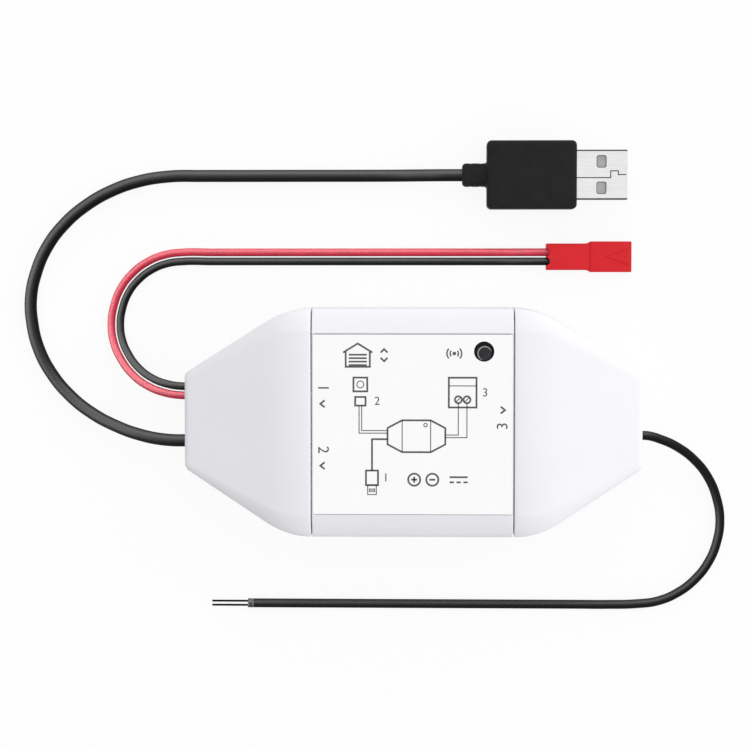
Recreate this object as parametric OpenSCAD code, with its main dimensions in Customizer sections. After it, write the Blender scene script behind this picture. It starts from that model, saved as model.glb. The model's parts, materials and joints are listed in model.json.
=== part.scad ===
// Garage door controller: a white box in three shells, with three leads.
// Millimetres. +X along the case, +Y across it, +Z out of the printed face.
// The back of the case is on z = 0 and the origin is under its middle.

/* [Case] */
// length of the case over both end faces
case_l = 108; // [104:1:114]
// width of the case
case_w = 53.4; // [53:0.2:57]
// height of the case, from the back to the printed face
case_h = 26; // [25:0.5:28]
// length of the centre sleeve between the seams
sleeve_l = 46.8; // [46.4:0.2:50]
// wall of the sleeve and of the caps
wall = 2; // [1.8:0.1:2.2]
// open gap at each seam
seam_gap = 0.3; // [0.2:0.05:0.4]
// rounding of the long edges at the face, across the case
front_r = 5.5; // [5:0.25:6]
// fall of this rounding, down from the face
front_drop = 2.8; // [2.4:0.1:3.2]
// crease where this rounding starts at the sleeve, from none to full
front_crease = 1; // [0:0.1:1]
// rounding of the long edges at the back
back_r = 5; // [4.5:0.25:5.5]

/* [End caps] */
// width of the end face
end_w = 22.5; // [22:0.25:26]
// height of the end face
end_h = 18; // [17:0.5:20]
// length of the curved shoulder next to the seam
shoulder_l = 11; // [10:0.5:14]
// rounding of the edges at the end face
end_round = 1; // [0.8:0.05:1.2]
// corner rounding of the section at the end face, across the case
end_corner_r = 2; // [1.75:0.25:2.5]
// fall of this rounding at the end face
end_drop = 1; // [0.9:0.05:1.2]
// thickness of the end wall
end_wall = 2.2; // [2:0.1:2.6]
// depth that the lip of a cap reaches into the sleeve
lip_l = 5; // [4.5:0.25:6]
// thickness of the lip
lip_t = 1.5; // [1.3:0.1:1.7]
// gap between the lip and the sleeve
lip_gap = 0.1; // [0.05:0.05:0.15]
// radius of the snap beads on the lip
bead_r = 0.6; // [0.5:0.05:0.65]
// length of a snap bead
bead_l = 10; // [8:0.5:12]

/* [Face label] */
// width of the label
label_w = 46.2; // [45.6:0.1:46.8]
// height of the label
label_h = 41.8; // [41:0.2:42.4]
// thickness of the label film
label_t = 0.25; // [0.2:0.05:0.3]
// depth of the recess that the label lies in
recess_t = 0.3; // [0.3:0.05:0.4]
// gap around the label
label_gap = 0.2; // [0.15:0.05:0.3]
// shift of the label toward the lower edge
label_drop = 0.2; // [0:0.05:0.25]

/* [Pairing button] */
// place of the button along the case
button_x = 16.7; // [15:0.1:17.5]
// place of the button across the case
button_y = 16.3; // [15.5:0.1:16.6]
// diameter of the visible end of the button
button_d = 3.5; // [3.2:0.1:3.7]
// diameter of the hole in the face
hole_d = 4.7; // [4.7:0.1:5]
// shift of the hole against the button, along the case
hole_shift_x = -0.15; // [-0.2:0.05:0.1]
// shift of the hole against the button, across the case
hole_shift_y = 0.45; // [0:0.05:0.45]
// how far the button end lies below the face
button_sink = 0.4; // [0.3:0.05:0.8]
// diameter of the collar on the button, behind the face
button_collar_d = 6; // [5.9:0.1:6.2]
// thickness of the collar
button_collar_t = 0.8; // [0.6:0.1:0.9]
// travel of the button
button_travel = 0.25; // [0.15:0.05:0.25]

/* [Board] */
// length of the main board
board_l = 62; // [60:0.5:64]
// width of the main board
board_w = 44; // [43.5:0.25:44.5]
// thickness of the main board
board_t = 1.6; // [1.4:0.1:1.8]
// depth of the under side of the board below the printed face
board_drop = 15; // [14.8:0.1:15.4]
// play of the board in its rails
rail_gap = 0.1; // [0.05:0.05:0.2]
// how far the rails reach over the board edge
rail_grip = 1.5; // [1.2:0.1:1.6]
// thickness of a rail
rail_t = 1.6; // [1.4:0.1:1.8]

/* [Relay] */
// length of the relay
relay_l = 15.4; // [15.2:0.1:16.4]
// width of the relay
relay_w = 10.4; // [10:0.1:11]
// height of the relay above the board
relay_h = 10; // [9.6:0.1:10.2]
// wall of the relay cover
relay_wall = 0.6; // [0.5:0.05:0.7]
// gap under the armature at its edge bearing
pivot_gap = 0.05; // [0.03:0.01:0.08]

/* [Leads] */
// height of the lead holes in the end faces
lead_z = 8; // [7.6:0.1:8.4]
// diameter of the power cord
power_d = 3; // [2.8:0.1:3.2]
// diameter of each sensor wire
sensor_d = 1.9; // [1.8:0.05:1.95]
// diameter of the control cord
control_d = 2.2; // [2:0.1:2.4]
// play around each lead in its hole
lead_gap = 0.15; // [0.1:0.05:0.25]
// place of the power cord across the end face
power_y = -5.4; // [-6:0.1:-5]
// place of the sensor pair across the end face
sensor_y = 6.6; // [6.4:0.1:7]
// distance between the two sensor wires
sensor_pitch = 2.2; // [2.1:0.05:2.4]
// place of the control cord across the end face
control_y = -4; // [-5:0.1:-3]
// length of the strain relief collars
collar_l = 4.5; // [4:0.25:5]
// diameter of each bare control core
core_d = 0.5; // [0.4:0.05:0.6]
// length of the bare control cores
core_l = 8.8; // [7:0.2:11]
// distance between the bare control cores
core_pitch = 1; // [0.8:0.05:1.2]

/* [Power plug] */
// length of the moulded body of the plug
plug_l = 21.5; // [20:0.5:24]
// width of the moulded body
plug_w = 16.4; // [15.5:0.1:17]
// thickness of the moulded body
plug_t = 8; // [7.6:0.1:8.6]
// rounding of the moulded body
plug_r = 1.3; // [1:0.1:1.6]
// length of the neck at the cord
neck_l = 5.9; // [5:0.1:7]
// width of the neck
neck_w = 5.6; // [5:0.1:6]
// width of the metal shell
shell_w = 12; // [11.9:0.05:12.1]
// thickness over the metal shell
shell_h = 4.5; // [4.4:0.05:4.6]
// length of the metal shell outside the body
shell_l = 12.1; // [11.7:0.1:12.5]
// sheet thickness of the shell
shell_t = 0.3; // [0.25:0.05:0.35]

/* [Sensor connector] */
// length of the connector
conn_l = 20.4; // [19:0.2:22]
// width of the connector at the wires
conn_w = 6.4; // [6.2:0.1:6.7]
// width of the connector at the mating end
conn_wide = 7.4; // [7.2:0.1:7.8]
// length of the wider mating end
conn_wide_l = 10; // [9:0.2:11]
// thickness of the connector
conn_t = 5; // [4.8:0.1:5.4]

/* [Hidden] */
$fn = 48;

// Levels and lengths that follow from the sizes
eps = 0.01;
board_z = case_h - board_drop;
board_top = board_z + board_t;
seam_x = sleeve_l / 2 + seam_gap;
end_x = case_l / 2;
cap_l = end_x - seam_x;
collar_x = end_x - end_wall;
jacket_x = collar_x - collar_l;
face_z = case_h - recess_t;
ceiling_z = case_h - wall;

// Shape of a cap: a curved shoulder, then a straight taper
taper_k = shoulder_l * (2 * cap_l - shoulder_l);
side_a = (case_w - end_w) / 2 / taper_k;
top_a = (case_h - end_h) / taper_k;
function fall(a, u) = u <= 0 ? 0 : u < shoulder_l ? a * u * u : a * shoulder_l * (2 * u - shoulder_l);
function half_w(u) = case_w / 2 - fall(side_a, u);
function top_z(u) = case_h - fall(top_a, u);
function blend(a, b, u) = a + (b - a) * min(max(u / cap_l, 0), 1);

// One rounded section as points across and up
corner_n = 6;
function corner(cy, cz, ry, rz, a0, crease = 0) = [for (k = [0:corner_n])
    let (a = a0 + 90 * k / corner_n, c = cos(a) * (1 - crease + crease * abs(cos(a))))
    [cy + ry * c, cz + rz * sin(a)]];
function section(hw, z0, z1, rf, drop, rb, crease = 0) = concat(
    corner(hw - rf, z1 - drop, rf, drop, 0, crease), corner(rf - hw, z1 - drop, rf, drop, 90, crease),
    corner(rb - hw, z0 + rb, rb, rb, 180), corner(hw - rb, z0 + rb, rb, rb, 270));
function at_x(x, pts) = [for (p = pts) [x, p[0], p[1]]];

// Sections of a cap at a distance u from the seam, outside and inside
edge_share = 0.7;
slant_side = 1.2 * wall;
slant_top = 1.15 * wall;
end_inner_r = 1.5;
function outer_ring(u, inset) = at_x(seam_x + u, section(
    half_w(u) - inset, inset, top_z(u) - inset,
    blend(front_r, end_corner_r, u) - inset * edge_share,
    blend(front_drop, end_drop, u) - inset * edge_share,
    blend(back_r, end_corner_r, u) - inset * edge_share, blend(front_crease, 0, u)));
function inner_ring(u) =
    let (rf = blend(front_r - wall, end_inner_r, u), rb = blend(back_r - wall, end_inner_r, u))
    at_x(seam_x + u, section(half_w(u) - slant_side, wall, top_z(u) - slant_top, rf, rf, rb));
shoulder_steps = [for (k = [0:6]) shoulder_l * k / 6];
round_steps = [0:22.5:90];

// A closed skin over rings of points
module skin(rings) {
    n = len(rings[0]);
    m = len(rings);
    sides = [for (i = [0:m - 2], k = [0:n - 1])
        let (a = i * n + k, b = i * n + (k + 1) % n) [a, a + n, b + n, b]];
    polyhedron(
        points = [for (ring = rings) for (p = ring) p],
        faces = concat(
            [[for (k = [0:n - 1]) k]], [[for (k = [0:n - 1]) m * n - 1 - k]],
            [for (q = sides) [q[0], q[1], q[2]]], [for (q = sides) [q[0], q[2], q[3]]]),
        convexity = 4);
}

// A round lead swept along its points
lead_sides = 8;
function unit(v) = v / norm(v);
function heading(pts, i) = unit(pts[min(i + 1, len(pts) - 1)] - pts[max(i - 1, 0)]);
function tube_ring(p, t, r) = let (s = unit(cross([0, 0, 1], t)), up = cross(t, s))
    [for (k = [0:lead_sides - 1]) let (a = 360 * k / lead_sides) p + r * (cos(a) * s + sin(a) * up)];
module tube(pts, r) {
    skin([for (i = [0:len(pts) - 1]) tube_ring(pts[i], heading(pts, i), r)]);
}

// Plain shapes
module rounded(w, h, r) {
    square([w - 2 * r, h], center = true);
    square([w, h - 2 * r], center = true);
    for (x = [-1, 1], y = [-1, 1]) translate([x * (w / 2 - r), y * (h / 2 - r)]) circle(r);
}
module along_x(x0, x1, y, z) {
    translate([x0, y, z]) rotate([90, 0, 90]) linear_extrude(x1 - x0) children();
}
module rod_x(x0, x1, r, y, z) {
    translate([x0, y, z]) rotate([0, 90, 0]) cylinder(r = r, h = x1 - x0);
}
module rod_y(y0, y1, r, x, z) {
    translate([x, y0, z]) rotate([-90, 0, 0]) cylinder(r = r, h = y1 - y0);
}
module rod_z(z0, z1, r, x, y) {
    translate([x, y, z0]) cylinder(r = r, h = z1 - z0);
}
module box(x0, x1, y0, y1, z0, z1) {
    translate([x0, y0, z0]) cube([x1 - x0, y1 - y0, z1 - z0]);
}

// Case section, from outside and set in by a distance all round
module outline() {
    polygon(section(case_w / 2, 0, case_h, front_r, front_drop, back_r, front_crease));
}
module profile(off) {
    w = case_w / 2 - off;
    rf = front_r - off;
    rb = back_r - off;
    translate([-w, off + rb]) square([2 * w, case_h - 2 * off - rb - rf]);
    translate([rf - w, case_h - off - rf - eps]) square([2 * (w - rf), rf + eps]);
    translate([rb - w, off]) square([2 * (w - rb), rb + eps]);
    for (s = [-1, 1]) {
        translate([s * (w - rf), case_h - off - rf]) circle(rf);
        translate([s * (w - rb), off + rb]) circle(rb);
    }
}
module ring_x(x0, x1, out, in) {
    along_x(x0, x1, 0, 0) difference() {
        profile(out);
        profile(in);
    }
}

// Snap beads on the lips and their grooves in the sleeve
bead_x = sleeve_l / 2 - lip_l / 2;
bead_sink = 0.25;
bead_play = 0.12;
lip_out = wall + lip_gap;
lip_in = lip_out + lip_t;
module beads(play) {
    half = bead_l / 2 + play;
    for (z = [lip_out + bead_sink, case_h - lip_out - bead_sink])
        rod_y(-half, half, bead_r + play, bead_x, z);
}

// Centre sleeve with board rails, light pipe seat, button hole and label recess
rail_in = board_w / 2 - rail_grip;
rail_out = case_w / 2 - wall / 2;
rail_end = sleeve_l / 2 - lip_l;
pipe_x = button_x - 7.05;
pipe_d = 2.5;
pipe_gap = 0.05;
pipe_window = 0.6;
pipe_top = face_z - pipe_window;
boss_t = 1.2;
boss_l = 3;
web_t = 0.7;
web_z = face_z - web_t;
collar_play = 0.4;
hole_x = button_x + hole_shift_x;
hole_y = button_y + hole_shift_y;
module rails() {
    box(-rail_end, rail_end, rail_in, rail_out, board_z - rail_gap - rail_t, board_z - rail_gap);
    box(-rail_end, rail_end, rail_in, rail_out, board_top + rail_gap, board_top + rail_gap + rail_t);
}
module centre_sleeve() {
    recess_h = label_h / 2 + label_gap;
    color("white") difference() {
        union() {
            along_x(-sleeve_l / 2, sleeve_l / 2, 0, 0) difference() {
                outline();
                profile(wall);
            }
            rails();
            mirror([0, 1, 0]) rails();
            rod_z(ceiling_z - boss_l, ceiling_z + wall / 2, pipe_d / 2 + boss_t, pipe_x, button_y);
        }
        box(-sleeve_l, sleeve_l, -recess_h - label_drop, recess_h - label_drop, face_z, case_h + 1);
        rod_z(ceiling_z - 1, case_h + 1, hole_d / 2, hole_x, hole_y);
        rod_z(ceiling_z - 1, web_z, button_collar_d / 2 + collar_play, button_x, button_y);
        rod_z(ceiling_z - boss_l - 1, pipe_top, pipe_d / 2 + pipe_gap, pipe_x, button_y);
        beads(bead_play);
        mirror([1, 0, 0]) beads(bead_play);
    }
}

// End caps: both start from the cap at the right
root_start = 0.4;
root_l = 2.5;
root_out = wall * 0.6;
post_gap = 0.2;
post_t = 1.5;
post_w = 4;
post_y = 14;
post_over = 1;
sill_t = 1.2;
sill_side = 3.4;
sill_drop = 1.6;
lip_relief = 0.6;
module cap_shell() {
    difference() {
        skin(concat(
            [for (u = shoulder_steps) outer_ring(u, 0)],
            [for (a = round_steps) outer_ring(cap_l - end_round * (1 - sin(a)), end_round * (1 - cos(a)))]));
        skin(concat(
            [[for (p = inner_ring(0)) p - [1, 0, 0]]],
            [for (u = shoulder_steps) inner_ring(u)], [inner_ring(cap_l - end_wall)]));
    }
}
module cap_blank(sill_y0, sill_y1) {
    post_x = board_l / 2 + post_gap;
    cap_shell();
    ring_x(rail_end, seam_x + root_l, lip_out, lip_in);
    ring_x(seam_x + root_start, seam_x + root_l, root_out, lip_in);
    beads(0);
    for (y = [-post_y, post_y])
        box(post_x, post_x + post_t, y - post_w / 2, y + post_w / 2, wall / 2, board_top + post_over);
    box(jacket_x - sill_t, jacket_x, sill_y0 - sill_side, sill_y1 + sill_side, wall / 2, lead_z - sill_drop);
}
module left_cap() {
    r = sensor_d / 2 + lead_gap;
    half = sensor_pitch / 2;
    color("white") mirror([1, 0, 0]) difference() {
        cap_blank(power_y, sensor_y);
        rod_x(jacket_x + 1, end_x + 1, power_d / 2 + lead_gap, power_y, lead_z);
        for (y = [sensor_y - half, sensor_y + half]) rod_x(jacket_x + 1, end_x + 1, r, y, lead_z);
        box(jacket_x + 1, end_x + 1, sensor_y - half, sensor_y + half, lead_z - r, lead_z + r);
    }
}
module right_cap() {
    color("white") difference() {
        cap_blank(control_y, control_y);
        rod_x(jacket_x + 1, end_x + 1, control_d / 2 + lead_gap, control_y, lead_z);
        rod_z(ceiling_z - lip_t - 1, ceiling_z, button_collar_d / 2 + lip_relief, button_x, button_y);
    }
}
label_corner_r = 0.4;
module face_label() {
    color("whitesmoke") difference() {
        translate([0, -label_drop, face_z]) linear_extrude(label_t) rounded(label_w, label_h, label_corner_r);
        rod_z(face_z - 1, case_h + 1, hole_d / 2, hole_x, hole_y);
    }
}

// Button and switch
switch_w = 6;
switch_h = 3.4;
switch_floor = 1;
stem_d = 3.4;
stem_top = board_top + 7;
stem_fit = 0.03;
foot_d = 4.3;
foot_play = 0.15;
plate_t = 0.2;
plate_play = 0.1;
dome_rest = 0.25;
dome_h = button_travel + dome_rest;
dome_r = 2.1;
dome_t = 0.08;
dome_z = board_top + switch_floor;
foot_z = dome_z + dome_h;
plate_z = board_top + switch_h;
leg_y = 2.25;
leg_w = 0.7;
leg_x = (switch_w + plate_t) / 2;
leg_hole_r = 0.5;
leg_tail = 0.8;
skirt_d = 5;
skirt_l = 1.6;
tip_z = case_h - button_sink;
tip_chamfer = 0.25;
collar_rest = 0.25;
collar_top = web_z - collar_rest;
module button_rod(z0, z1, d) {
    rod_z(z0, z1, d / 2, button_x, button_y);
}
module switch_square(z0, z1) {
    half = switch_w / 2;
    box(button_x - half, button_x + half, button_y - half, button_y + half, z0, z1);
}
module pairing_button() {
    color("dimgray") difference() {
        union() {
            button_rod(collar_top - eps, tip_z - tip_chamfer, button_d);
            translate([button_x, button_y, tip_z - tip_chamfer])
                cylinder(d1 = button_d, d2 = button_d - 2 * tip_chamfer, h = tip_chamfer);
            button_rod(collar_top - button_collar_t, collar_top, button_collar_d);
            button_rod(stem_top - skirt_l, collar_top - button_collar_t / 2, skirt_d);
        }
        button_rod(stem_top - skirt_l - 1, stem_top, stem_d + 2 * stem_fit);
    }
}
module switch_plunger() {
    color("black") {
        button_rod(foot_z, plate_z - plate_play, foot_d);
        button_rod(foot_z, stem_top, stem_d);
    }
}
module switch_body() {
    color("black") difference() {
        switch_square(board_top, plate_z);
        button_rod(dome_z, plate_z + 1, foot_d + 2 * foot_play);
    }
}
module switch_frame() {
    color("silver") {
        difference() {
            switch_square(plate_z, plate_z + plate_t);
            button_rod(plate_z - 1, plate_z + 1, stem_d + 2 * plate_play);
        }
        for (x = [button_x - leg_x, button_x + leg_x], y = [button_y - leg_y, button_y + leg_y])
            box(x - plate_t / 2, x + plate_t / 2, y - leg_w / 2, y + leg_w / 2,
                board_z - leg_tail, plate_z + plate_t);
    }
}
module switch_dome() {
    arc = [for (k = [0:4]) let (a = 22.5 * k) [dome_r * sin(a), (dome_h - dome_t) * cos(a)]];
    color("gold") translate([button_x, button_y, dome_z]) rotate_extrude()
        polygon(concat(arc, [for (k = [4:-1:0]) arc[k] + [0, dome_t]]));
}

// Status lamp and light pipe
lamp_w = 3;
lamp_d = 2.8;
lamp_h = 1.6;
lamp_gap = 0.3;
lamp_top = board_top + lamp_h;
module status_lamp() {
    color("ivory") box(pipe_x - lamp_w / 2, pipe_x + lamp_w / 2,
        button_y - lamp_d / 2, button_y + lamp_d / 2, board_top, lamp_top);
}
module light_pipe() {
    color("lightblue") rod_z(lamp_top + lamp_gap, pipe_top, pipe_d / 2, pipe_x, button_y);
}

// Main board with its pin holes
relay_at = [10, -9];
relay_pin_at = [[-6.3, 3.6], [-6.3, -3.6], [-5, 0], [5.8, 0]];
reservoir_at = [-14, -14];
reservoir_d = 6.3;
reservoir_h = 9;
reservoir_pitch = 2.5;
wire_r = 0.25;
pin_r = 0.3;
pin_play = 0.1;
pin_pitch = 2.5;
tail = 1.2;
header_l = 7;
header_x = board_l / 2 - 0.5;
pin_leg_x = header_x - header_l - 0.7;
module board_hole(x, y, r) {
    rod_z(board_z - 1, board_top + 1, r, x, y);
}
module main_board() {
    color("darkgreen") difference() {
        box(-board_l / 2, board_l / 2, -board_w / 2, board_w / 2, board_z, board_top);
        for (p = relay_pin_at) board_hole(relay_at[0] + p[0], relay_at[1] + p[1], pin_r + pin_play);
        for (s = [-1, 1]) {
            board_hole(reservoir_at[0] + s * reservoir_pitch / 2, reservoir_at[1], wire_r + pin_play);
            board_hole(-pin_leg_x, power_y + s * pin_pitch / 2, pin_r + pin_play);
            board_hole(-pin_leg_x, sensor_y + s * pin_pitch / 2, pin_r + pin_play);
            board_hole(pin_leg_x, control_y + s * pin_pitch / 2, pin_r + pin_play);
            for (y = [-leg_y, leg_y]) board_hole(button_x + s * leg_x, button_y + y, leg_hole_r);
        }
    }
}

// Radio board and its shield can
radio_at = [-20.5, 3.6];
radio_size = [24, 16, 0.8];
shield_at = [7, 1.5];
shield_size = [15.5, 13, 2.4];
shield_t = 0.2;
module radio_board() {
    color("midnightblue") translate([radio_at[0], radio_at[1], board_top]) cube(radio_size);
}
module radio_shield() {
    z0 = board_top + radio_size[2];
    color("silver") translate([radio_at[0] + shield_at[0], radio_at[1] + shield_at[1], z0]) difference() {
        cube(shield_size);
        translate([shield_t, shield_t, -shield_t]) cube(shield_size - [2 * shield_t, 2 * shield_t, 0]);
    }
}

// Reservoir capacitor, regulator and small parts
module reservoir_capacitor() {
    color("darkslateblue") translate([reservoir_at[0], reservoir_at[1], 0]) {
        rod_z(board_top, board_top + reservoir_h, reservoir_d / 2, 0, 0);
        for (s = [-1, 1]) rod_z(board_z - tail, board_top + 1, wire_r, s * reservoir_pitch / 2, 0);
    }
}
regulator_at = [-17.25, -3.65];
regulator_size = [6.5, 3.5, 1.8];
regulator_lift = 0.1;
lug_t = 0.4;
module regulator() {
    half = regulator_size / 2;
    color("#222222") translate([regulator_at[0], regulator_at[1], board_top]) {
        box(-half[0], half[0], -half[1], half[1], regulator_lift, regulator_size[2]);
        box(-1.5, 1.5, half[1] - 0.5, half[1] + 1.7, 0, lug_t);
        for (x = [-2.3, 0, 2.3]) box(x - lug_t, x + lug_t, -half[1] - 1.6, 0.5 - half[1], 0, lug_t);
    }
}
chip_size = [1.2, 2, 0.6];
chip_at = [[-9, -3], [-6.5, -3], [-4, -3], [-9, -8.5], [-6.5, -8.5], [-4, -8.5], [-1.5, -8.5],
    [4.5, -17.5], [7, -17.5], [6.2, 10], [9.4, 10]];
diode_size = [3, 1.4, 1.1];
diode_at = [12.5, -18];
driver_size = [3, 5, 1.2];
driver_at = [21.5, 6.5];
module chip(at, size) {
    translate([at[0], at[1], board_top + size[2] / 2]) cube(size, center = true);
}
module chip_parts() {
    color("saddlebrown") {
        for (p = chip_at) chip(p, chip_size);
        chip(diode_at, diode_size);
        chip(driver_at, driver_size);
    }
}

// Relay: the armature tips on the top edge of the yoke
base_t = 1.4;
base_play = 0.05;
yoke_t = 1;
yoke_w = 5.6;
yoke_x = -5.7;
yoke_reach = 3;
yoke_foot_t = 0.8;
coil_z = base_t + yoke_foot_t;
coil_x = -0.8;
coil_r = 3.5;
winding_r = 3.2;
tube_r = 1.6;
flange_t = 0.6;
core_r = 1.05;
core_play = 0.05;
pole_r = 1.6;
pole_t = 0.3;
pole_z = 7.05;
flange_z = pole_z - pole_t - flange_t;
pivot_z = 7.2;
pivot_r = yoke_t / 2;
arm_z = pivot_z + pivot_r + pivot_gap;
arm_t = 0.7;
arm_w = 5.2;
arm_reach = 2.6;
finger_w = 2.4;
finger_reach = 5.6;
contact_x = 4.8;
contact_r = 0.6;
contact_t = 0.5;
fixed_z = 6.1;
blade_t = 0.4;
blade_w = 1.6;
module relay_place() {
    translate([relay_at[0], relay_at[1], board_top]) children();
}
module relay_block(off, z0, z1) {
    box(off - relay_l / 2, relay_l / 2 - off, off - relay_w / 2, relay_w / 2 - off, z0, z1);
}
module relay_base() {
    color("black") relay_place() difference() {
        relay_block(relay_wall + base_play, 0, base_t);
        for (p = relay_pin_at) rod_z(-1, base_t + 1, pin_r + base_play, p[0], p[1]);
    }
}
module relay_cover() {
    color("navy") relay_place() difference() {
        relay_block(0, 0, relay_h);
        relay_block(relay_wall, -1, relay_h - relay_wall);
    }
}
module relay_yoke() {
    color("silver") relay_place() {
        box(yoke_x - yoke_t / 2, yoke_reach, -yoke_w / 2, yoke_w / 2, base_t, coil_z);
        box(yoke_x - yoke_t / 2, yoke_x + yoke_t / 2, -yoke_w / 2, yoke_w / 2, base_t, pivot_z);
        rod_y(-yoke_w / 2, yoke_w / 2, pivot_r, yoke_x, pivot_z);
    }
}
module relay_core() {
    color("silver") relay_place() {
        rod_z(coil_z, pole_z, core_r, coil_x, 0);
        rod_z(pole_z - pole_t, pole_z, pole_r, coil_x, 0);
    }
}
module relay_bobbin() {
    color("beige") relay_place() difference() {
        union() {
            rod_z(coil_z, flange_z + flange_t, tube_r, coil_x, 0);
            rod_z(coil_z, coil_z + flange_t, coil_r, coil_x, 0);
            rod_z(flange_z, flange_z + flange_t, coil_r, coil_x, 0);
        }
        rod_z(0, relay_h, core_r + core_play, coil_x, 0);
    }
}
module relay_winding() {
    color("sienna") relay_place() difference() {
        rod_z(coil_z + flange_t, flange_z, winding_r, coil_x, 0);
        rod_z(0, relay_h, tube_r, coil_x, 0);
    }
}
module relay_armature() {
    color("gainsboro") relay_place() {
        box(yoke_x - yoke_t / 2, arm_reach, -arm_w / 2, arm_w / 2, arm_z, arm_z + arm_t);
        box(arm_reach - 1, finger_reach, -finger_w / 2, finger_w / 2, arm_z, arm_z + arm_t);
        rod_z(pivot_z, arm_z + arm_t / 2, contact_r, contact_x, 0);
    }
}
module relay_contact() {
    post = relay_pin_at[3];
    half = blade_w / 2;
    blade_z = fixed_z - contact_t;
    color("peru") relay_place() {
        rod_z(blade_z, fixed_z, contact_r, contact_x, 0);
        box(contact_x - half, post[0] + blade_t / 2, -half, half, blade_z - blade_t, blade_z);
        box(post[0] - blade_t / 2, post[0] + blade_t / 2, -half, half, base_t, blade_z);
        rod_z(-board_t - tail, base_t + blade_t, pin_r, post[0], post[1]);
    }
}
module relay_pins() {
    color("silver") relay_place() for (i = [0:2])
        rod_z(-board_t - tail, i < 2 ? coil_z : base_t, pin_r, relay_pin_at[i][0], relay_pin_at[i][1]);
}

// Wire headers on the board, their plugs, and the leads from the plugs to the cords
header_w = 7.4;
header_h = 4.8;
header_wall = 0.8;
header_back = 1.2;
header_room = 0.3;
pin_fit = 0.05;
plug_fit = 0.1;
plug_out = 1.5;
wire_fit = 0.08;
pin_end = header_x - 1.5;
pin_z = board_top + header_h / 2;
mouth_x = header_x + plug_out;
module header_block(x0, x1, y, off) {
    box(x0, x1, y + off - header_w / 2, y + header_w / 2 - off, board_top + off, board_top + header_h - off);
}
module header(y) {
    difference() {
        header_block(header_x - header_l, header_x, y, 0);
        header_block(header_x - header_l + header_back, header_x + 1, y, header_wall);
        for (s = [-1, 1]) rod_x(pin_leg_x, header_x, pin_r + pin_fit, y + s * pin_pitch / 2, pin_z);
    }
}
module header_pins(y) {
    for (pin_y = [y - pin_pitch / 2, y + pin_pitch / 2]) {
        rod_x(pin_leg_x, pin_end, pin_r, pin_y, pin_z);
        rod_z(board_z - tail, pin_z, pin_r, pin_leg_x, pin_y);
        translate([pin_leg_x, pin_y, pin_z]) sphere(pin_r);
    }
}
module inner_plug(y, lead_r) {
    difference() {
        header_block(header_x - header_l + header_back + header_room, mouth_x, y, header_wall + plug_fit);
        for (pin_y = [y - pin_pitch / 2, y + pin_pitch / 2]) {
            rod_x(header_x - header_l, header_x, pin_r + pin_fit, pin_y, pin_z);
            rod_x(pin_end, mouth_x + 1, lead_r + wire_fit, pin_y, pin_z);
        }
    }
}
lead_straight = 1.5;
lead_bend = 3.5;
lead_ease = 0.15 * (pin_z - lead_z);
function lead_run(y0, y1) = [
    [pin_end, y1, pin_z],
    [mouth_x + lead_straight, y1, pin_z],
    [mouth_x + lead_bend, y1, pin_z - lead_ease],
    [(mouth_x + jacket_x) / 2, (y0 + y1) / 2, (pin_z + lead_z) / 2],
    [jacket_x - lead_bend, y0, lead_z + lead_ease],
    [jacket_x - lead_straight, y0, lead_z],
    [jacket_x, y0, lead_z]];
module leads(y, from, r) {
    for (s = [-1, 1]) tube(lead_run(y + s * from, y + s * pin_pitch / 2), r);
}
power_core_r = 0.6;
power_core_at = 0.7;
control_core_r = 0.45;
control_core_at = 0.5;
module power_header() {
    color("ivory") mirror([1, 0, 0]) header(power_y);
}
module power_header_pins() {
    color("gold") mirror([1, 0, 0]) header_pins(power_y);
}
module power_inner_plug() {
    color("white") mirror([1, 0, 0]) inner_plug(power_y, power_core_r);
}
module power_leads() {
    color("firebrick") mirror([1, 0, 0]) leads(power_y, power_core_at, power_core_r);
}
module sensor_header() {
    color("ivory") mirror([1, 0, 0]) header(sensor_y);
}
module sensor_header_pins() {
    color("gold") mirror([1, 0, 0]) header_pins(sensor_y);
}
module sensor_inner_plug() {
    color("white") mirror([1, 0, 0]) inner_plug(sensor_y, sensor_d / 2);
}
module sensor_leads() {
    color("firebrick") mirror([1, 0, 0]) leads(sensor_y, sensor_pitch / 2, sensor_d / 2);
}
module control_header() {
    color("ivory") header(control_y);
}
module control_header_pins() {
    color("gold") header_pins(control_y);
}
module control_inner_plug() {
    color("white") inner_plug(control_y, control_core_r);
}
module control_leads() {
    color("dimgray") leads(control_y, control_core_at, control_core_r);
}

// Strain relief collars behind the end walls
grip = 0.05;
collar_t = 1.65;
sensor_collar_side = 1;
sensor_collar_h = 5.2;
module round_collar(y, d) {
    difference() {
        rod_x(jacket_x, collar_x, d / 2 + collar_t, y, lead_z);
        rod_x(jacket_x - 1, collar_x + 1, d / 2 + grip, y, lead_z);
    }
}
module power_collar() {
    color("black") mirror([1, 0, 0]) round_collar(power_y, power_d);
}
module sensor_collar() {
    half = sensor_pitch / 2 + sensor_d / 2 + sensor_collar_side;
    color("black") mirror([1, 0, 0]) difference() {
        box(jacket_x, collar_x, sensor_y - half, sensor_y + half,
            lead_z - sensor_collar_h / 2, lead_z + sensor_collar_h / 2);
        for (s = [-1, 1])
            rod_x(jacket_x - 1, collar_x + 1, sensor_d / 2 + grip, sensor_y + s * sensor_pitch / 2, lead_z);
    }
}
module control_collar() {
    color("black") round_collar(control_y, control_d);
}

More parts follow.
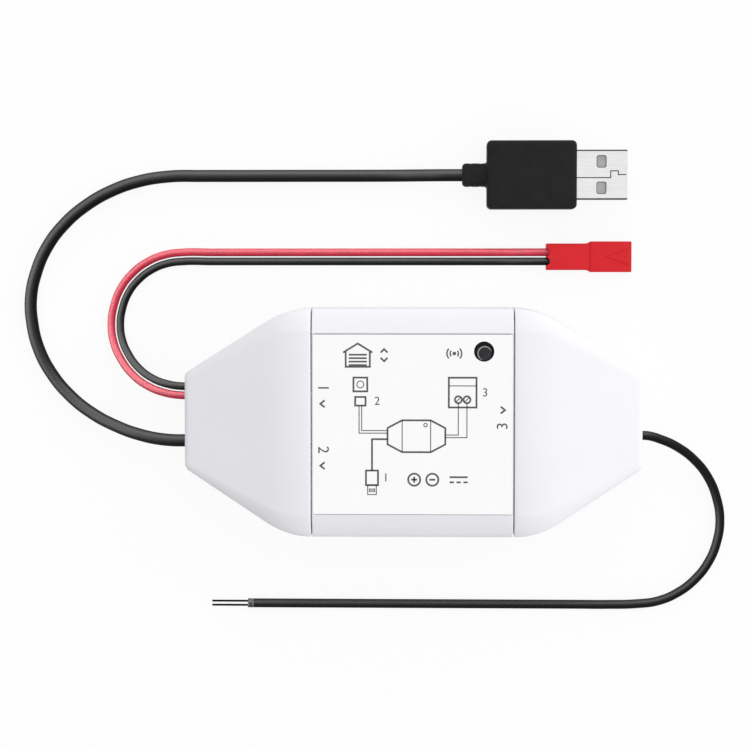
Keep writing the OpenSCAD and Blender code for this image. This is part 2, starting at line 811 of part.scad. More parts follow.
// Leads outside the case. A point is its place from the hole, then its share of a height:
// the hole's height on the way down, or where the last number is 1 the plug's height
power_route = [[0, 0, 1, 0], [-6, 0.2, 1, 0], [-12, 1.3, 0.9, 0], [-18.3, 3.4, 0.65, 0],
    [-24.2, 6.3, 0.37, 0], [-29.8, 10.5, 0.14, 0], [-34.3, 15.7, 0.02, 0], [-37.5, 21.8, 0, 0],
    [-39.1, 28.4, 0, 0], [-39.3, 34.5, 0, 0], [-38, 40.5, 0, 0], [-35.3, 46.6, 0, 0], [-31.1, 52.1, 0, 0],
    [-25.7, 56.7, 0, 0], [-19.3, 60.3, 0, 0], [-12.5, 62.6, 0, 0], [-5.2, 63.7, 0, 0], [10, 63.8, 0, 0],
    [27, 63.8, 0, 0], [43, 63.8, 0, 0], [50, 63.8, 0.2, 1], [55.5, 63.8, 0.62, 1], [60.5, 63.8, 0.95, 1],
    [63, 63.8, 1, 1], [65.6, 63.8, 1, 1]];
red_route = [[0, 0, 1, 0], [-2, 0, 1, 0], [-6, 0.6, 0.95, 0], [-10.3, 2.2, 0.8, 0], [-14.1, 4.9, 0.61, 0],
    [-17, 8.4, 0.4, 0], [-19, 12.5, 0.2, 0], [-19.7, 17, 0.06, 0], [-19.1, 21.5, 0, 0], [-17.4, 25.7, 0, 0],
    [-14.6, 29.3, 0, 0], [-10.9, 32.1, 0, 0], [-6.7, 33.8, 0, 0], [-2.2, 34.4, 0, 0], [12, 34.4, 0, 0],
    [40, 34.4, 0, 0], [70, 34.4, 0, 0], [76, 34.4, 0.25, 1], [81, 34.4, 0.8, 1], [84, 34.4, 1, 1],
    [88.9, 34.4, 1, 1]];
control_route = [[0, 0, 1, 0], [2, 0, 1, 0], [5.2, -0.9, 0.92, 0], [9.5, -2.9, 0.74, 0], [13.9, -6.3, 0.5, 0],
    [17.3, -10.6, 0.26, 0], [19.5, -15.7, 0.08, 0], [20.4, -21, 0, 0], [19.7, -26.3, 0, 0],
    [17.7, -31.3, 0, 0], [14.5, -35.5, 0, 0], [10.3, -38.8, 0, 0], [5.4, -40.9, 0, 0], [0.2, -41.6, 0, 0],
    [-14, -41.8, 0, 0],
    [-40, -41.8, 0, 0], [-66, -41.8, 0, 0], [-90, -41.8, 0, 0], [-94.5, -41.8, 0, 0]];
function lay(route, x, y, r, far_z) =
    [for (p = route) [x + p[0], y + p[1], r + p[2] * ((p[3] > 0 ? far_z : lead_z) - r)]];
function last(list) = list[len(list) - 1];
function beside(path, d) =
    [for (i = [0:len(path) - 1]) let (t = heading(path, i)) path[i] + d * unit([t[1], -t[0], 0])];
plug_z = plug_t / 2;
conn_z = conn_t / 2;
red_y = sensor_y - sensor_pitch / 2;
black_y = sensor_y + sensor_pitch / 2;
power_path = lay(power_route, -end_x, power_y, power_d / 2, plug_z);
red_path = lay(red_route, -end_x, red_y, sensor_d / 2, conn_z);
black_path = beside(red_path, sensor_pitch);
control_path = lay(control_route, end_x, control_y, control_d / 2, control_d / 2);
module power_cord() {
    color("#1a1a1a") tube(concat([[-jacket_x, power_y, lead_z]], power_path), power_d / 2);
}
module sensor_wire_red() {
    color("crimson") tube(concat([[-jacket_x, red_y, lead_z]], red_path), sensor_d / 2);
}
module sensor_wire_black() {
    color("#202020") tube(concat([[-jacket_x, black_y, lead_z]], black_path), sensor_d / 2);
}
module control_cord() {
    color("#202020") tube(concat([[jacket_x, control_y, lead_z]], control_path), control_d / 2);
}
module control_cores() {
    end = last(control_path);
    color("black") for (y = [end[1] - core_pitch / 2, end[1] + core_pitch / 2])
        rod_x(end[0] - core_l, end[0], core_d / 2, y, end[2]);
}

// Power plug
plug_end = last(power_path);
plug_x = plug_end[0] + neck_l;
shell_x = plug_x + plug_l;
shell_end = shell_x + shell_l;
shell_in = 6;
shell_r = 0.7;
neck_flat = 0.8;
neck_r = 1.6;
neck_sink = 2;
module plug_place() {
    translate([0, plug_end[1], plug_z]) children();
}
module plug_overmould() {
    mid = plug_x + plug_l / 2;
    color("#161616") plug_place() difference() {
        union() {
            intersection() {
                translate([mid, 0, -plug_t / 2]) linear_extrude(plug_t) rounded(plug_l, plug_w, plug_r);
                translate([mid, plug_w / 2, 0]) rotate([90, 0, 0])
                    linear_extrude(plug_w) rounded(plug_l, plug_t, plug_r);
                along_x(plug_x, shell_x, 0, 0) rounded(plug_w, plug_t, plug_r);
            }
            along_x(plug_end[0], plug_x + neck_sink, 0, 0) rounded(neck_w, neck_w - neck_flat, neck_r);
        }
        along_x(shell_x - shell_in, shell_x + 1, 0, 0) rounded(shell_w, shell_h, shell_r);
    }
}
window_x = shell_end - 6.2;
window_y = 3.15;
window_l = 2.3;
window_w = 2.9;
fold_w = 0.22;
fold_d = shell_t / 2;
fold_y = [-0.72, 0, 0.9];
fold_x = [shell_x + 8.1, shell_x + 9.9];
module fold(x0, x1, y0, y1) {
    box(x0, x1, y0, y1, shell_h / 2 - fold_d, shell_h / 2 + 1);
}
module plug_shell() {
    color("silver") plug_place() difference() {
        along_x(shell_x - shell_in, shell_end, 0, 0) difference() {
            rounded(shell_w, shell_h, shell_r);
            rounded(shell_w - 2 * shell_t, shell_h - 2 * shell_t, shell_r - shell_t);
        }
        for (y = [-window_y, window_y])
            box(window_x - window_l / 2, window_x + window_l / 2,
                y - window_w / 2, y + window_w / 2, -shell_h, shell_h);
        fold(shell_x, fold_x[0] + fold_w, fold_y[0], fold_y[0] + fold_w);
        fold(fold_x[0], fold_x[0] + fold_w, fold_y[0], fold_y[2] + fold_w);
        fold(fold_x[0], fold_x[1] + fold_w, fold_y[2], fold_y[2] + fold_w);
        fold(fold_x[1], fold_x[1] + fold_w, fold_y[1], fold_y[2] + fold_w);
        fold(fold_x[1], shell_end + 1, fold_y[1], fold_y[1] + fold_w);
    }
}
tongue_t = 1.9;
tongue_play = 0.4;
tongue_z = shell_h / 2 - shell_t - tongue_t;
contact_w = 1;
contact_thick = 0.2;
contact_play = 0.05;
contact_y = [-3.5, -1, 1, 3.5];
tongue_end = shell_end - tongue_play;
module plug_tongue() {
    half = shell_w / 2 - shell_t - tongue_play;
    slot = contact_w / 2 + contact_play;
    color("gray") plug_place() difference() {
        box(shell_x - shell_in, tongue_end, -half, half, tongue_z, tongue_z + tongue_t);
        for (y = contact_y)
            box(shell_x - shell_in - 1, tongue_end - 1, y - slot, y + slot,
                tongue_z - 1, tongue_z + contact_thick);
    }
}
module plug_contacts() {
    color("gold") plug_place() for (y = contact_y)
        box(shell_x - shell_in, tongue_end - (abs(y) > 2 ? 1.2 : 2.2), y - contact_w / 2, y + contact_w / 2,
            tongue_z, tongue_z + contact_thick);
}

// Sensor connector
wire_end = last(red_path);
wire_in = 3;
conn_x = wire_end[0] - wire_in;
conn_y = wire_end[1] - sensor_pitch / 2;
conn_end = conn_x + conn_l;
conn_drop = 0.2;
conn_r = 0.5;
socket_l = 7;
socket_w = 5.4;
socket_t = 3.2;
arrow_l = 6.2;
arrow_y = [2.9, 0.1, -2.5];
arrow_d = 0.3;
entry_l = 0.9;
entry_w = 4.4;
terminal_r = 0.5;
terminal_sink = 1.5;
module sensor_connector() {
    past = conn_end + 1;
    tip = conn_end - arrow_l;
    half_t = socket_t / 2;
    color("red") translate([0, conn_y, 0]) difference() {
        union() {
            along_x(conn_x, conn_end - 1, 0, conn_z - conn_drop / 2)
                rounded(conn_w, conn_t - conn_drop, conn_r);
            along_x(conn_end - conn_wide_l, conn_end, 0, conn_z) rounded(conn_wide, conn_t, conn_r);
        }
        for (y = [-sensor_pitch / 2, sensor_pitch / 2])
            rod_x(conn_x - 1, conn_end - socket_l + 1, sensor_d / 2 + grip, y, conn_z);
        box(conn_x - 1, conn_x + entry_l, -entry_w / 2, entry_w / 2, conn_z, conn_t + 1);
        box(conn_end - socket_l, past, -socket_w / 2, socket_w / 2, conn_z - half_t, conn_z + half_t);
        translate([0, 0, conn_t - arrow_d]) linear_extrude(1)
            polygon([[tip, arrow_y[1]], [past, arrow_y[0]], [past, arrow_y[2]]]);
    }
}
module sensor_terminals() {
    color("gold") translate([0, conn_y, 0]) for (y = [-sensor_pitch / 2, sensor_pitch / 2])
        rod_x(wire_end[0], conn_end - terminal_sink, terminal_r, y, conn_z);
}

// Draw
centre_sleeve();
left_cap();
right_cap();
face_label();
pairing_button();
switch_plunger();
switch_body();
switch_frame();
switch_dome();
light_pipe();
status_lamp();
main_board();
radio_board();
radio_shield();
relay_base();
relay_cover();
relay_yoke();
relay_core();
relay_bobbin();
relay_winding();
relay_armature();
relay_contact();
relay_pins();
reservoir_capacitor();
regulator();
chip_parts();
power_header();
power_header_pins();
power_inner_plug();
power_leads();
sensor_header();
sensor_header_pins();
sensor_inner_plug();
sensor_leads();
control_header();
control_header_pins();
control_inner_plug();
control_leads();
power_collar();
sensor_collar();
control_collar();
power_cord();
plug_overmould();
plug_shell();
plug_tongue();
plug_contacts();
sensor_wire_red();
sensor_wire_black();
sensor_connector();
sensor_terminals();
control_cord();
control_cores();
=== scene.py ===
import json
import math
from functools import partialmethod
from typing import NamedTuple

import bmesh
import bpy
from bpy.props import FloatProperty, FloatVectorProperty, PointerProperty
from mathutils import Matrix, Vector


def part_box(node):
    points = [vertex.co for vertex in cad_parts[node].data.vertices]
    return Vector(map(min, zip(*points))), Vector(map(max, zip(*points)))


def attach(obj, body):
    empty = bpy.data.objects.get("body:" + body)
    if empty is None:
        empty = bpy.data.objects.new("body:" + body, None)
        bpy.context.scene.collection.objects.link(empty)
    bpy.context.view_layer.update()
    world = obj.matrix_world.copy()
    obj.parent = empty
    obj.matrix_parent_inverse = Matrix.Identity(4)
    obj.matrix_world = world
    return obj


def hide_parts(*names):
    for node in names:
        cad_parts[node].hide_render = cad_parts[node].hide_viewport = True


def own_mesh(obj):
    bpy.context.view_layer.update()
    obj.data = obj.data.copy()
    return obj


bl_info = {
    "name": "Garage Door Controller",
    "version": (1, 0, 0),
    "blender": (4, 5, 0),
    "location": "3D View > Sidebar > Controller",
    "description": "Dresses the packed solids of a garage door controller",
    "category": "Object",
}

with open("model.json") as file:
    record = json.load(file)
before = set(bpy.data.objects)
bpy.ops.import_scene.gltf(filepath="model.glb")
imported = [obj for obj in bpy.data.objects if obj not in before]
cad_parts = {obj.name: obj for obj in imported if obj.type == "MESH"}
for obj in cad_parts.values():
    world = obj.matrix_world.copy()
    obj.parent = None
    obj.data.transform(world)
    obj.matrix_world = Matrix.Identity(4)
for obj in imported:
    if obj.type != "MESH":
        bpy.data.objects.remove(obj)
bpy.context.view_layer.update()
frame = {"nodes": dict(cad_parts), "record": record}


class Box(NamedTuple):
    """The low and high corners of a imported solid."""

    low: Vector
    high: Vector

    def middle(self, axes):
        """Its middle on each of the named axes."""
        return tuple((getattr(self.low, axis) + getattr(self.high, axis)) / 2 for axis in axes)

    def half(self, axes):
        """Half of its size along each of the named axes."""
        return tuple((getattr(self.high, axis) - getattr(self.low, axis)) / 2 for axis in axes)


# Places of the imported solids
SLEEVE = Box(*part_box("centre_sleeve"))
CAP = Box(*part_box("right_cap"))
LABEL = Box(*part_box("face_label"))
BUTTON = Box(*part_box("pairing_button"))
PLUNGER = Box(*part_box("switch_plunger"))
DOME = Box(*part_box("switch_dome"))
PIPE = Box(*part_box("light_pipe"))
BOARD = Box(*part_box("main_board"))
COLLAR = Box(*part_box("control_collar"))
MOULD = Box(*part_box("plug_overmould"))
SHELL = Box(*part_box("plug_shell"))
CONNECTOR = Box(*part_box("sensor_connector"))
CORES = Box(*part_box("control_cores"))
CAN = Box(*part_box("reservoir_capacitor"))

# Cord routes from the exit: along X and Y, then share of the height, and 1 where that height is the far
# end's; a point without the last two lies on the floor
POWER_ROUTE = (
    (0, 0, 1, 0), (-0.006, 0.0002, 1, 0), (-0.012, 0.0013, 0.9, 0), (-0.0183, 0.0034, 0.65, 0),
    (-0.0242, 0.0063, 0.37, 0), (-0.0298, 0.0105, 0.14, 0), (-0.0343, 0.0157, 0.02, 0),
    (-0.0375, 0.0218), (-0.0391, 0.0284), (-0.0393, 0.0345), (-0.038, 0.0405),
    (-0.0353, 0.0466), (-0.0311, 0.0521), (-0.0257, 0.0567), (-0.0193, 0.0603),
    (-0.0125, 0.0626), (-0.0052, 0.0637), (0.0024, 0.0638), (0.01, 0.0638),
    (0.0185, 0.0638), (0.027, 0.0638), (0.035, 0.0638), (0.043, 0.0638),
    (0.05, 0.0638, 0.2, 1), (0.0555, 0.0638, 0.62, 1), (0.0605, 0.0638, 0.95, 1), (0.063, 0.0638, 1, 1),
    (0.0656, 0.0638, 1, 1),
)
SENSOR_ROUTE = (
    (0, 0, 1, 0), (-0.002, 0, 1, 0), (-0.006, 0.0006, 0.95, 0), (-0.0103, 0.0022, 0.8, 0),
    (-0.0141, 0.0049, 0.61, 0), (-0.017, 0.0084, 0.4, 0), (-0.019, 0.0125, 0.2, 0),
    (-0.0197, 0.017, 0.06, 0), (-0.0191, 0.0215), (-0.0174, 0.0257), (-0.0146, 0.0293),
    (-0.0109, 0.0321), (-0.0067, 0.0338), (-0.0022, 0.0344), (0.0049, 0.0344),
    (0.012, 0.0344), (0.0215, 0.0344), (0.031, 0.0344), (0.04, 0.0344),
    (0.05, 0.0344), (0.06, 0.0344), (0.07, 0.0344), (0.076, 0.0344, 0.25, 1),
    (0.081, 0.0344, 0.8, 1), (0.084, 0.0344, 1, 1), (0.0889, 0.0344, 1, 1),
)
CONTROL_ROUTE = (
    (0, 0, 1, 0), (0.002, 0, 1, 0), (0.0052, -0.0009, 0.92, 0), (0.0095, -0.0029, 0.74, 0),
    (0.0139, -0.0063, 0.5, 0), (0.0173, -0.0106, 0.26, 0), (0.0195, -0.0157, 0.08, 0),
    (0.0204, -0.021), (0.0197, -0.0263), (0.0177, -0.0313), (0.0145, -0.0355),
    (0.0103, -0.0388), (0.0054, -0.0409), (0.0002, -0.0416), (-0.0069, -0.0418),
    (-0.014, -0.0418), (-0.023, -0.0418), (-0.032, -0.0418), (-0.04, -0.0418),
    (-0.049, -0.0418), (-0.058, -0.0418), (-0.066, -0.0418), (-0.074, -0.0418),
    (-0.082, -0.0418), (-0.09, -0.0418), (-0.0945, -0.0418),
)

# Thickness of the print, widths of its lines, and height of a digit as a share of its type's size
INK = 0.00002
THIN = 0.00022
BOLD = 0.00042
DIGIT_SHARE = 0.72

# Smallest radius of a ring, and how far a cutter runs past the face that it opens
POINT = 0.00001
OVERCUT = 0.001

# Distances within which points are joined and edges count as slivers, and the least share of a mitre
WELD = 1e-8
CAP_WELD = 1e-6
SLIVER = 1e-7
LEAST_MITRE = 0.35

# Inside the caps: posts beside the board's ends, sills under the leads, relief for the button's collar
POST_PLAY = 0.0002
POST_THICK = 0.0015
POST_AT = 0.014
POST_HALF = 0.002
POST_RISE = 0.001
SILL_THICK = 0.0012
SILL_LOW = -0.009
SILL_HIGH = {-1: 0.011, 1: 0.004}
SILL_TOP = 0.0064
BAR_BASE = 0.001
RELIEF_RADIUS = 0.0036
RELIEF_SPAN = (0.016, 0.0245)

# Inside the sleeve: rails of the board, seat of the light pipe, and bore for the button's collar
RAIL_REACH = 0.0205
RAIL_PLAY = 0.0001
RAIL_THICK = 0.0016
SEAT_DROP = 0.003
SEAT_BITE = 0.0008
SEAT_WALL = 0.0012
PIPE_PLAY = 0.00005
BORE_DROP = 0.004
BORE_RADIUS = 0.0034
FACE_WEB = 0.001
HOLE_SHIFT = (-0.00015, 0.00045)
HOLE_TOP = 0.03

# Button: socket for the plunger, skirt, and the collar that stops it under the face; sheet of the snap dome
SOCKET_RADIUS = 0.00173
SKIRT_RADIUS = 0.0025
COLLAR_DROP = 0.00125
COLLAR_THICK = 0.0008
BEVEL = 0.0001
TIP_HOLLOW = ((0.0005, 0.00001), (0.0009, 0.00006))
TIP_DROP = 0.00008
DOME_SHEET = 0.00008

# Plug: neck with its grooves, grip, and the shell with its windows and fold
NECK_CORNER = 0.0016
NECK_EDGE = 0.0009
NECK_FLARE = 0.0004
NECK_GROOVES = (0.0016, 0.004)
GROOVE_STEPS = ((0.0, 0.0), (0.00015, 0.00006), (0.00065, 0.00006), (0.0008, 0.0))
GRIP_CORNER = 0.0013
POCKET_CORNER = 0.0007
CORD_BORE = 0.0004
CORD_PLAY = 0.0001
SHELL_CORNER = 0.0008
WINDOW_BACK = 0.0062
WINDOW_AT = 0.00315
WINDOW_HALF = (0.00104, 0.00134)
WINDOW_CORNER = 0.0004
WINDOW_FLARE = 0.00016
FOLD_WIDTH = 0.00024
FOLD_DEPTH = 0.0002
FOLD_LINE = -0.00072
FOLD_TAB = (0.004, 0.0022, 0.0009)
FOLD_HIDDEN = 0.002
FOLD_PAST = 0.0005

# Connector: height of the wires, roundings, bores, mouth and arrow
WIRE_LEVEL = 0.0025
CONNECTOR_FALL = 0.00008
CONNECTOR_CORNER = 0.0005
CONNECTOR_EDGE = 0.00025
CONNECTOR_BLEND = 0.0009
WIRE_PLAY = 0.00005
WIRE_BORE = 0.003
MOUTH_DEPTH = 0.007
MOUTH_HALF = (0.0027, 0.0016)
MOUTH_CORNER = 0.0003
ENTRY_HALF = (0.002, 0.00099)
ENTRY_CORNER = 0.00098
ARROW_TIP = 0.0063
ARROW_BASE = 0.0005
ARROW_MIDDLE = 0.0019
ARROW_SIDES = (-0.002, 0.0021)
ARROW_RISE = 0.0002
ARROW_TOP = 0.9

# How far the bare cores reach into the cord
CORE_OVERLAP = 0.001

# Pieces that the sheen lamps fall on, and those that only shade them
SHEEN_PIECES = (
    "power_cord_jacket", "sensor_insulation_red", "sensor_insulation_black", "control_cord_jacket",
    "button_moulding",
)
SHADE_PIECES = ("plug_grip", "connector_body")

# Stage: camera, lamps, sky and floor
CAMERA_AT = Vector((0.0056, 0.035, 0.520))
CAMERA_TARGET = Vector((-0.0092, 0.0108, 0.013))
CAMERA_LENS = 102.67
CAMERA_SENSOR = 36.0
CAMERA_NEAR = 0.01
LAMPS = {"Left Sheen": Vector((-0.8, 0.1, 0.5)), "Top Sheen": Vector((-0.05, 0.82, 0.5))}
LAMP_TARGET = Vector((0.0, 0.0, 0.01))
LAMP_DISTANCE = 1.2
LAMP_WIDTH = 1.5
LAMP_POWER = 210.0
SKY_SLOPE = (0.88, 0.64, 0.14)
SKY_LEVEL = 1.02
SKY_MOST = 1.4
SKY_LEAST = 0.05
WHITE = (1.0, 1.0, 1.0, 1.0)
FLOOR_GREY = (0.9, 0.9, 0.9, 1.0)
FLOOR_GLOW = 0.9
FLOOR_HALF = 3.0
FLOOR_LEVEL = -0.00006

# Steps of a rounded end and of the finer circles; of the cap's tree, points on a corner and rings on each
# stretch
BEND_STEPS = 5
FINE_STEPS = 12
CORNER_POINTS = 11
CAP_COLUMNS = 4 * CORNER_POINTS + 1
END_STEPS = 8
SEAM_STEPS = 3
OUTER_RINGS = 42
INNER_RINGS = 24
CAP_RINGS = OUTER_RINGS + INNER_RINGS + 5

# Inside a cap, walls on its sides and top as shares of the wall; loss of its corners as a share of the inset
SIDE_WALL = 1.2
TOP_WALL = 1.15
CORNER_LOSS = 0.7


def length(name, description, default):
    """A size in metres that the sidebar shows."""
    return FloatProperty(
        name=name, description=description, default=default, min=0.0, precision=5, subtype="DISTANCE",
        unit="LENGTH",
    )


def colour(name, description, default):
    """A linear colour that the sidebar shows."""
    return FloatVectorProperty(
        name=name, description=description, default=default, size=3, min=0.0, max=1.0, subtype="COLOR"
    )


class ControllerCaseSizes(bpy.types.PropertyGroup):
    """Sizes of the white case and its button"""

    wall: length("Wall", "Thickness of the case walls", 0.002)
    end_wall: length("End wall", "Thickness of the wall that the leads pass through", 0.0022)
    seam_gap: length("Seam gap", "Gap between the sleeve and a cap", 0.0003)
    seam_round: length("Seam rounding", "Rounding of the edges along the seams", 0.00015)
    front_round: length("Front rounding", "Rounding of the long front edges, across the case", 0.0055)
    front_drop: length("Front fall", "Fall of that rounding, down from the printed face", 0.0028)
    back_round: length("Back rounding", "Corner radius along the back", 0.005)
    shoulder: length("Shoulder", "Length over which a cap bends from the sleeve into its taper", 0.011)
    end_width: length("End width", "Width of a cap at its outer end", 0.0225)
    end_height: length("End height", "Height of a cap at its outer end", 0.018)
    end_corner: length("End corner", "Rounding of the long edges at a cap's outer end", 0.002)
    end_drop: length("End fall", "Fall of that rounding at a cap's outer end", 0.001)
    end_inner: length("End inner corner", "Corner radius inside a cap at its outer end", 0.0015)
    end_round: length("End rounding", "Rounding of the edge round a cap's outer end", 0.001)
    lip_gap: length("Lip gap", "Play between a cap's lip and the sleeve", 0.0001)
    lip_wall: length("Lip wall", "Thickness of the lip that slides into the sleeve", 0.0015)
    lip_root: length("Lip root", "How far the lip's thick root reaches into the cap", 0.0025)
    label_gap: length("Label gap", "Gap between the label and the sides of its recess", 0.0002)
    groove_width: length("Groove width", "Width of the groove along the label's long edges", 0.00034)
    groove_depth: length("Groove depth", "Depth of that groove under the label", 0.0012)
    groove_stop: length("Groove stop", "Distance from the seam at which that groove ends", 0.0006)
    button_hole: length("Button hole", "Diameter of the hole round the button", 0.0047)
    button_tip: length("Button tip", "Diameter of the button where it shows", 0.0035)
    button_edge: length("Button edge", "Rounding of the button's rim", 0.00028)


class ControllerLeadSizes(bpy.types.PropertyGroup):
    """Sizes of the leads and what is on their ends"""

    power_cord: length("Power cord", "Diameter of the power cord", 0.003)
    sensor_wire: length("Sensor wire", "Diameter of each sensor wire", 0.0019)
    sensor_pitch: length("Sensor pitch", "Distance between the two sensor wires", 0.0022)
    control_cord: length("Control cord", "Diameter of the control cord", 0.0022)
    core: length("Core", "Diameter of each core of the control cord", 0.0005)
    core_pitch: length("Core pitch", "Distance between the two cores", 0.001)
    hole_play: length("Hole play", "Play round a lead in its hole", 0.00015)
    hole_flare: length("Hole flare", "Rounding of a lead hole's outer edge", 0.0003)
    neck_length: length("Neck length", "Length of the plug's neck", 0.0059)
    neck_width: length("Neck width", "Width of the plug's neck", 0.0056)
    neck_height: length("Neck height", "Height of the plug's neck", 0.0048)
    mould_round: length("Plug rounding", "Edge radius of the plug's grip", 0.0011)
    shell_metal: length("Shell metal", "Thickness of the plug's metal shell", 0.0003)
    connector_step: length("Connector step", "Length of the connector's wider mouth", 0.01)
    connector_narrow: length("Connector narrow", "Width of the connector behind its mouth", 0.0064)
    connector_entry: length("Connector entry", "Depth of the open notch where the wires enter", 0.0009)


class ControllerColours(bpy.types.PropertyGroup):
    """Colours of the finishes"""

    case: colour("Case", "White moulded plastic of the case", (0.845, 0.84, 0.878))
    label: colour("Label", "White printed film", (0.955, 0.955, 0.957))
    ink: colour("Ink", "Grey print on the label", (0.11, 0.11, 0.115))
    button: colour("Button", "Pairing button", (0.0265, 0.0265, 0.032))
    cord: colour("Cord", "Black cord jackets", (0.002, 0.002, 0.0021))
    red_wire: colour("Red wire", "Insulation of the red wire", (0.6, 0.018, 0.052))
    grip: colour("Plug grip", "Moulded grip of the plug", (0.0165, 0.0163, 0.016))
    metal: colour("Tinned steel", "Plug shell and other tinned steel", (0.86, 0.86, 0.86))
    connector: colour("Connector", "Red two-way connector", (0.66, 0.016, 0.023))


class Field:
    """A number in a node tree that can be reckoned with like any other number."""

    def __init__(self, tree, socket):
        self.tree = tree
        self.socket = socket

    def math(self, operation, *others):
        return reckon(self.tree, operation, self, *others)

    __add__ = __radd__ = partialmethod(math, "ADD")
    __mul__ = __rmul__ = partialmethod(math, "MULTIPLY")
    __sub__ = partialmethod(math, "SUBTRACT")
    __truediv__ = partialmethod(math, "DIVIDE")
    above = partialmethod(math, "GREATER_THAN")
    below = partialmethod(math, "LESS_THAN")

    def __rsub__(self, other):
        return reckon(self.tree, "SUBTRACT", other, self)

    def share(self):
        return self.math("MAXIMUM", 0.0).math("MINIMUM", 1.0)

    def ramp(self, start, width):
        return ((self - start) / width).share()


def reckon(tree, operation, *values):
    """A Math node on the given numbers."""
    node = tree.nodes.new("ShaderNodeMath")
    node.operation = operation
    for socket, value in zip(node.inputs, values):
        feed(tree, socket, value)
    return Field(tree, node.outputs[0])


def feed(tree, socket, value):
    """Links a field or a socket, or sets a plain value."""
    if isinstance(value, Field):
        value = value.socket
    if isinstance(value, bpy.types.NodeSocket):
        tree.links.new(value, socket)
    else:
        socket.default_value = value


def pick(mask, low, high):
    """The low value where the mask is 0, and the high one where it is 1."""
    return (high - low) * mask + low


def node(tree, kind, **inputs):
    """A node of that kind with its inputs fed by name."""
    made = tree.nodes.new(kind)
    for name, value in inputs.items():
        feed(tree, made.inputs[name.replace("_", " ")], value)
    return made


# Meshes made from rings of points


def oblong(axis, at, middle, halves, radius, steps=6):
    """A ring of points round a rounded rectangle that stands across the X or the Z axis."""
    points = []
    for corner in range(4):
        side_a = 1 if corner in (0, 3) else -1
        side_b = 1 if corner < 2 else -1
        for step in range(steps):
            turn = (corner + step / (steps - 1)) * math.pi / 2
            a = middle[0] + side_a * (halves[0] - radius) + radius * math.cos(turn)
            b = middle[1] + side_b * (halves[1] - radius) + radius * math.sin(turn)
            points.append((at, a, b) if axis == "x" else (a, b, at))
    return points


def circle(axis, at, middle, radius, steps=8):
    """A ring of points round a circle that stands across an axis."""
    return oblong(axis, at, middle, (radius, radius), radius, steps)


def bar(axis, span, middle, halves, radius, steps=6):
    """Rings of a straight bar with rounded corners, between two places along an axis."""
    return [oblong(axis, at, middle, halves, radius, steps) for at in span]


def pin(axis, span, middle, radius, steps=8):
    """Rings of a straight round bar, between two places along an axis."""
    return [circle(axis, at, middle, radius, steps) for at in span]


def turned(profile, middle, steps=8):
    """Rings of a turned piece that stands along Z, from pairs of radius and height."""
    return [circle("z", at, middle, max(radius, POINT), steps) for radius, at in profile]


def block(low, high):
    """Rings of a plain box."""
    middle = [(a + b) / 2 for a, b in zip(low, high)]
    halves = [(b - a) / 2 for a, b in zip(low, high)]
    return bar("z", (low[2], high[2]), middle, halves, 0.0, 2)


def quarter_turns(steps):
    """Angles from 0 to a right angle in equal steps."""
    return [step / steps * math.pi / 2 for step in range(steps + 1)]


def rounding(radius, steps):
    """Pairs of what a rounded edge takes off: one way it falls to nothing, the other way it grows."""
    return [(radius * (1 - math.sin(turn)), radius * (1 - math.cos(turn))) for turn in quarter_turns(steps)]


def shrunk(halves, inset):
    """Half sizes less an inset."""
    return tuple(half - inset for half in halves)


def bent_rings(axis, start, end, middle, halves, radius, edge):
    """Rings of a bar along an axis whose two ends are rounded by edge."""
    bend = rounding(edge, BEND_STEPS - 1)
    stations = [(start + along, inset) for inset, along in bend]
    stations += [(end - along, inset) for inset, along in reversed(bend)]
    return [
        oblong(axis, at, middle, shrunk(halves, inset), max(radius - inset, 0.0)) for at, inset in stations
    ]


def stroke(points, width, low, high, closed=False):
    """Rings of a flat line of print, mitred at its corners."""
    rings = []
    count = len(points)
    for i, point in enumerate(points):
        here = Vector(point)
        before = Vector(points[i - 1]) if closed or i else here
        after = Vector(points[(i + 1) % count]) if closed or i < count - 1 else here
        into = (here - before).normalized()
        out = (after - here).normalized()
        into = into if into.length else out
        out = out if out.length else into
        mitre = Vector((-into.y - out.y, into.x + out.x)).normalized()
        reach = width / 2 / max(mitre.dot(Vector((-into.y, into.x))), LEAST_MITRE)
        left = here + mitre * reach
        right = here - mitre * reach
        rings.append([(*left, low), (*left, high), (*right, high), (*right, low)])
    return rings


def cleaned(shape, mesh):
    """Joins points that coincide, turns the faces outward and writes the shape to a mesh."""
    bmesh.ops.remove_doubles(shape, verts=shape.verts, dist=WELD)
    bmesh.ops.recalc_face_normals(shape, faces=shape.faces)
    shape.to_mesh(mesh)
    shape.free()
    return mesh


def mesh_of(name, *bars, closed=False):
    """A mesh of one or more bars, each a list of rings; closed bars join their last ring to their first."""
    shape = bmesh.new()
    for rings in bars:
        rows = [[shape.verts.new(point) for point in ring] for ring in rings]
        pairs = list(zip(rows, rows[1:]))
        if closed:
            pairs.append((rows[-1], rows[0]))
        else:
            shape.faces.new(rows[0])
            shape.faces.new(rows[-1])
        for low, high in pairs:
            for i in range(len(low)):
                j = (i + 1) % len(low)
                shape.faces.new((low[i], low[j], high[j], high[i]))
    return cleaned(shape, bpy.data.meshes.new(name))


def linked(name, data):
    """A new object in the scene."""
    made = bpy.data.objects.new(name, data)
    bpy.context.scene.collection.objects.link(made)
    return made


def built(name, rings, closed=False):
    """A new object from one bar of rings."""
    return linked(name, mesh_of(name, rings, closed=closed))


def settle(piece):
    """Turns what the modifiers make into the piece's own mesh."""
    graph = bpy.context.evaluated_depsgraph_get()
    mesh = bpy.data.meshes.new_from_object(piece.evaluated_get(graph))
    piece.modifiers.clear()
    piece.data = mesh


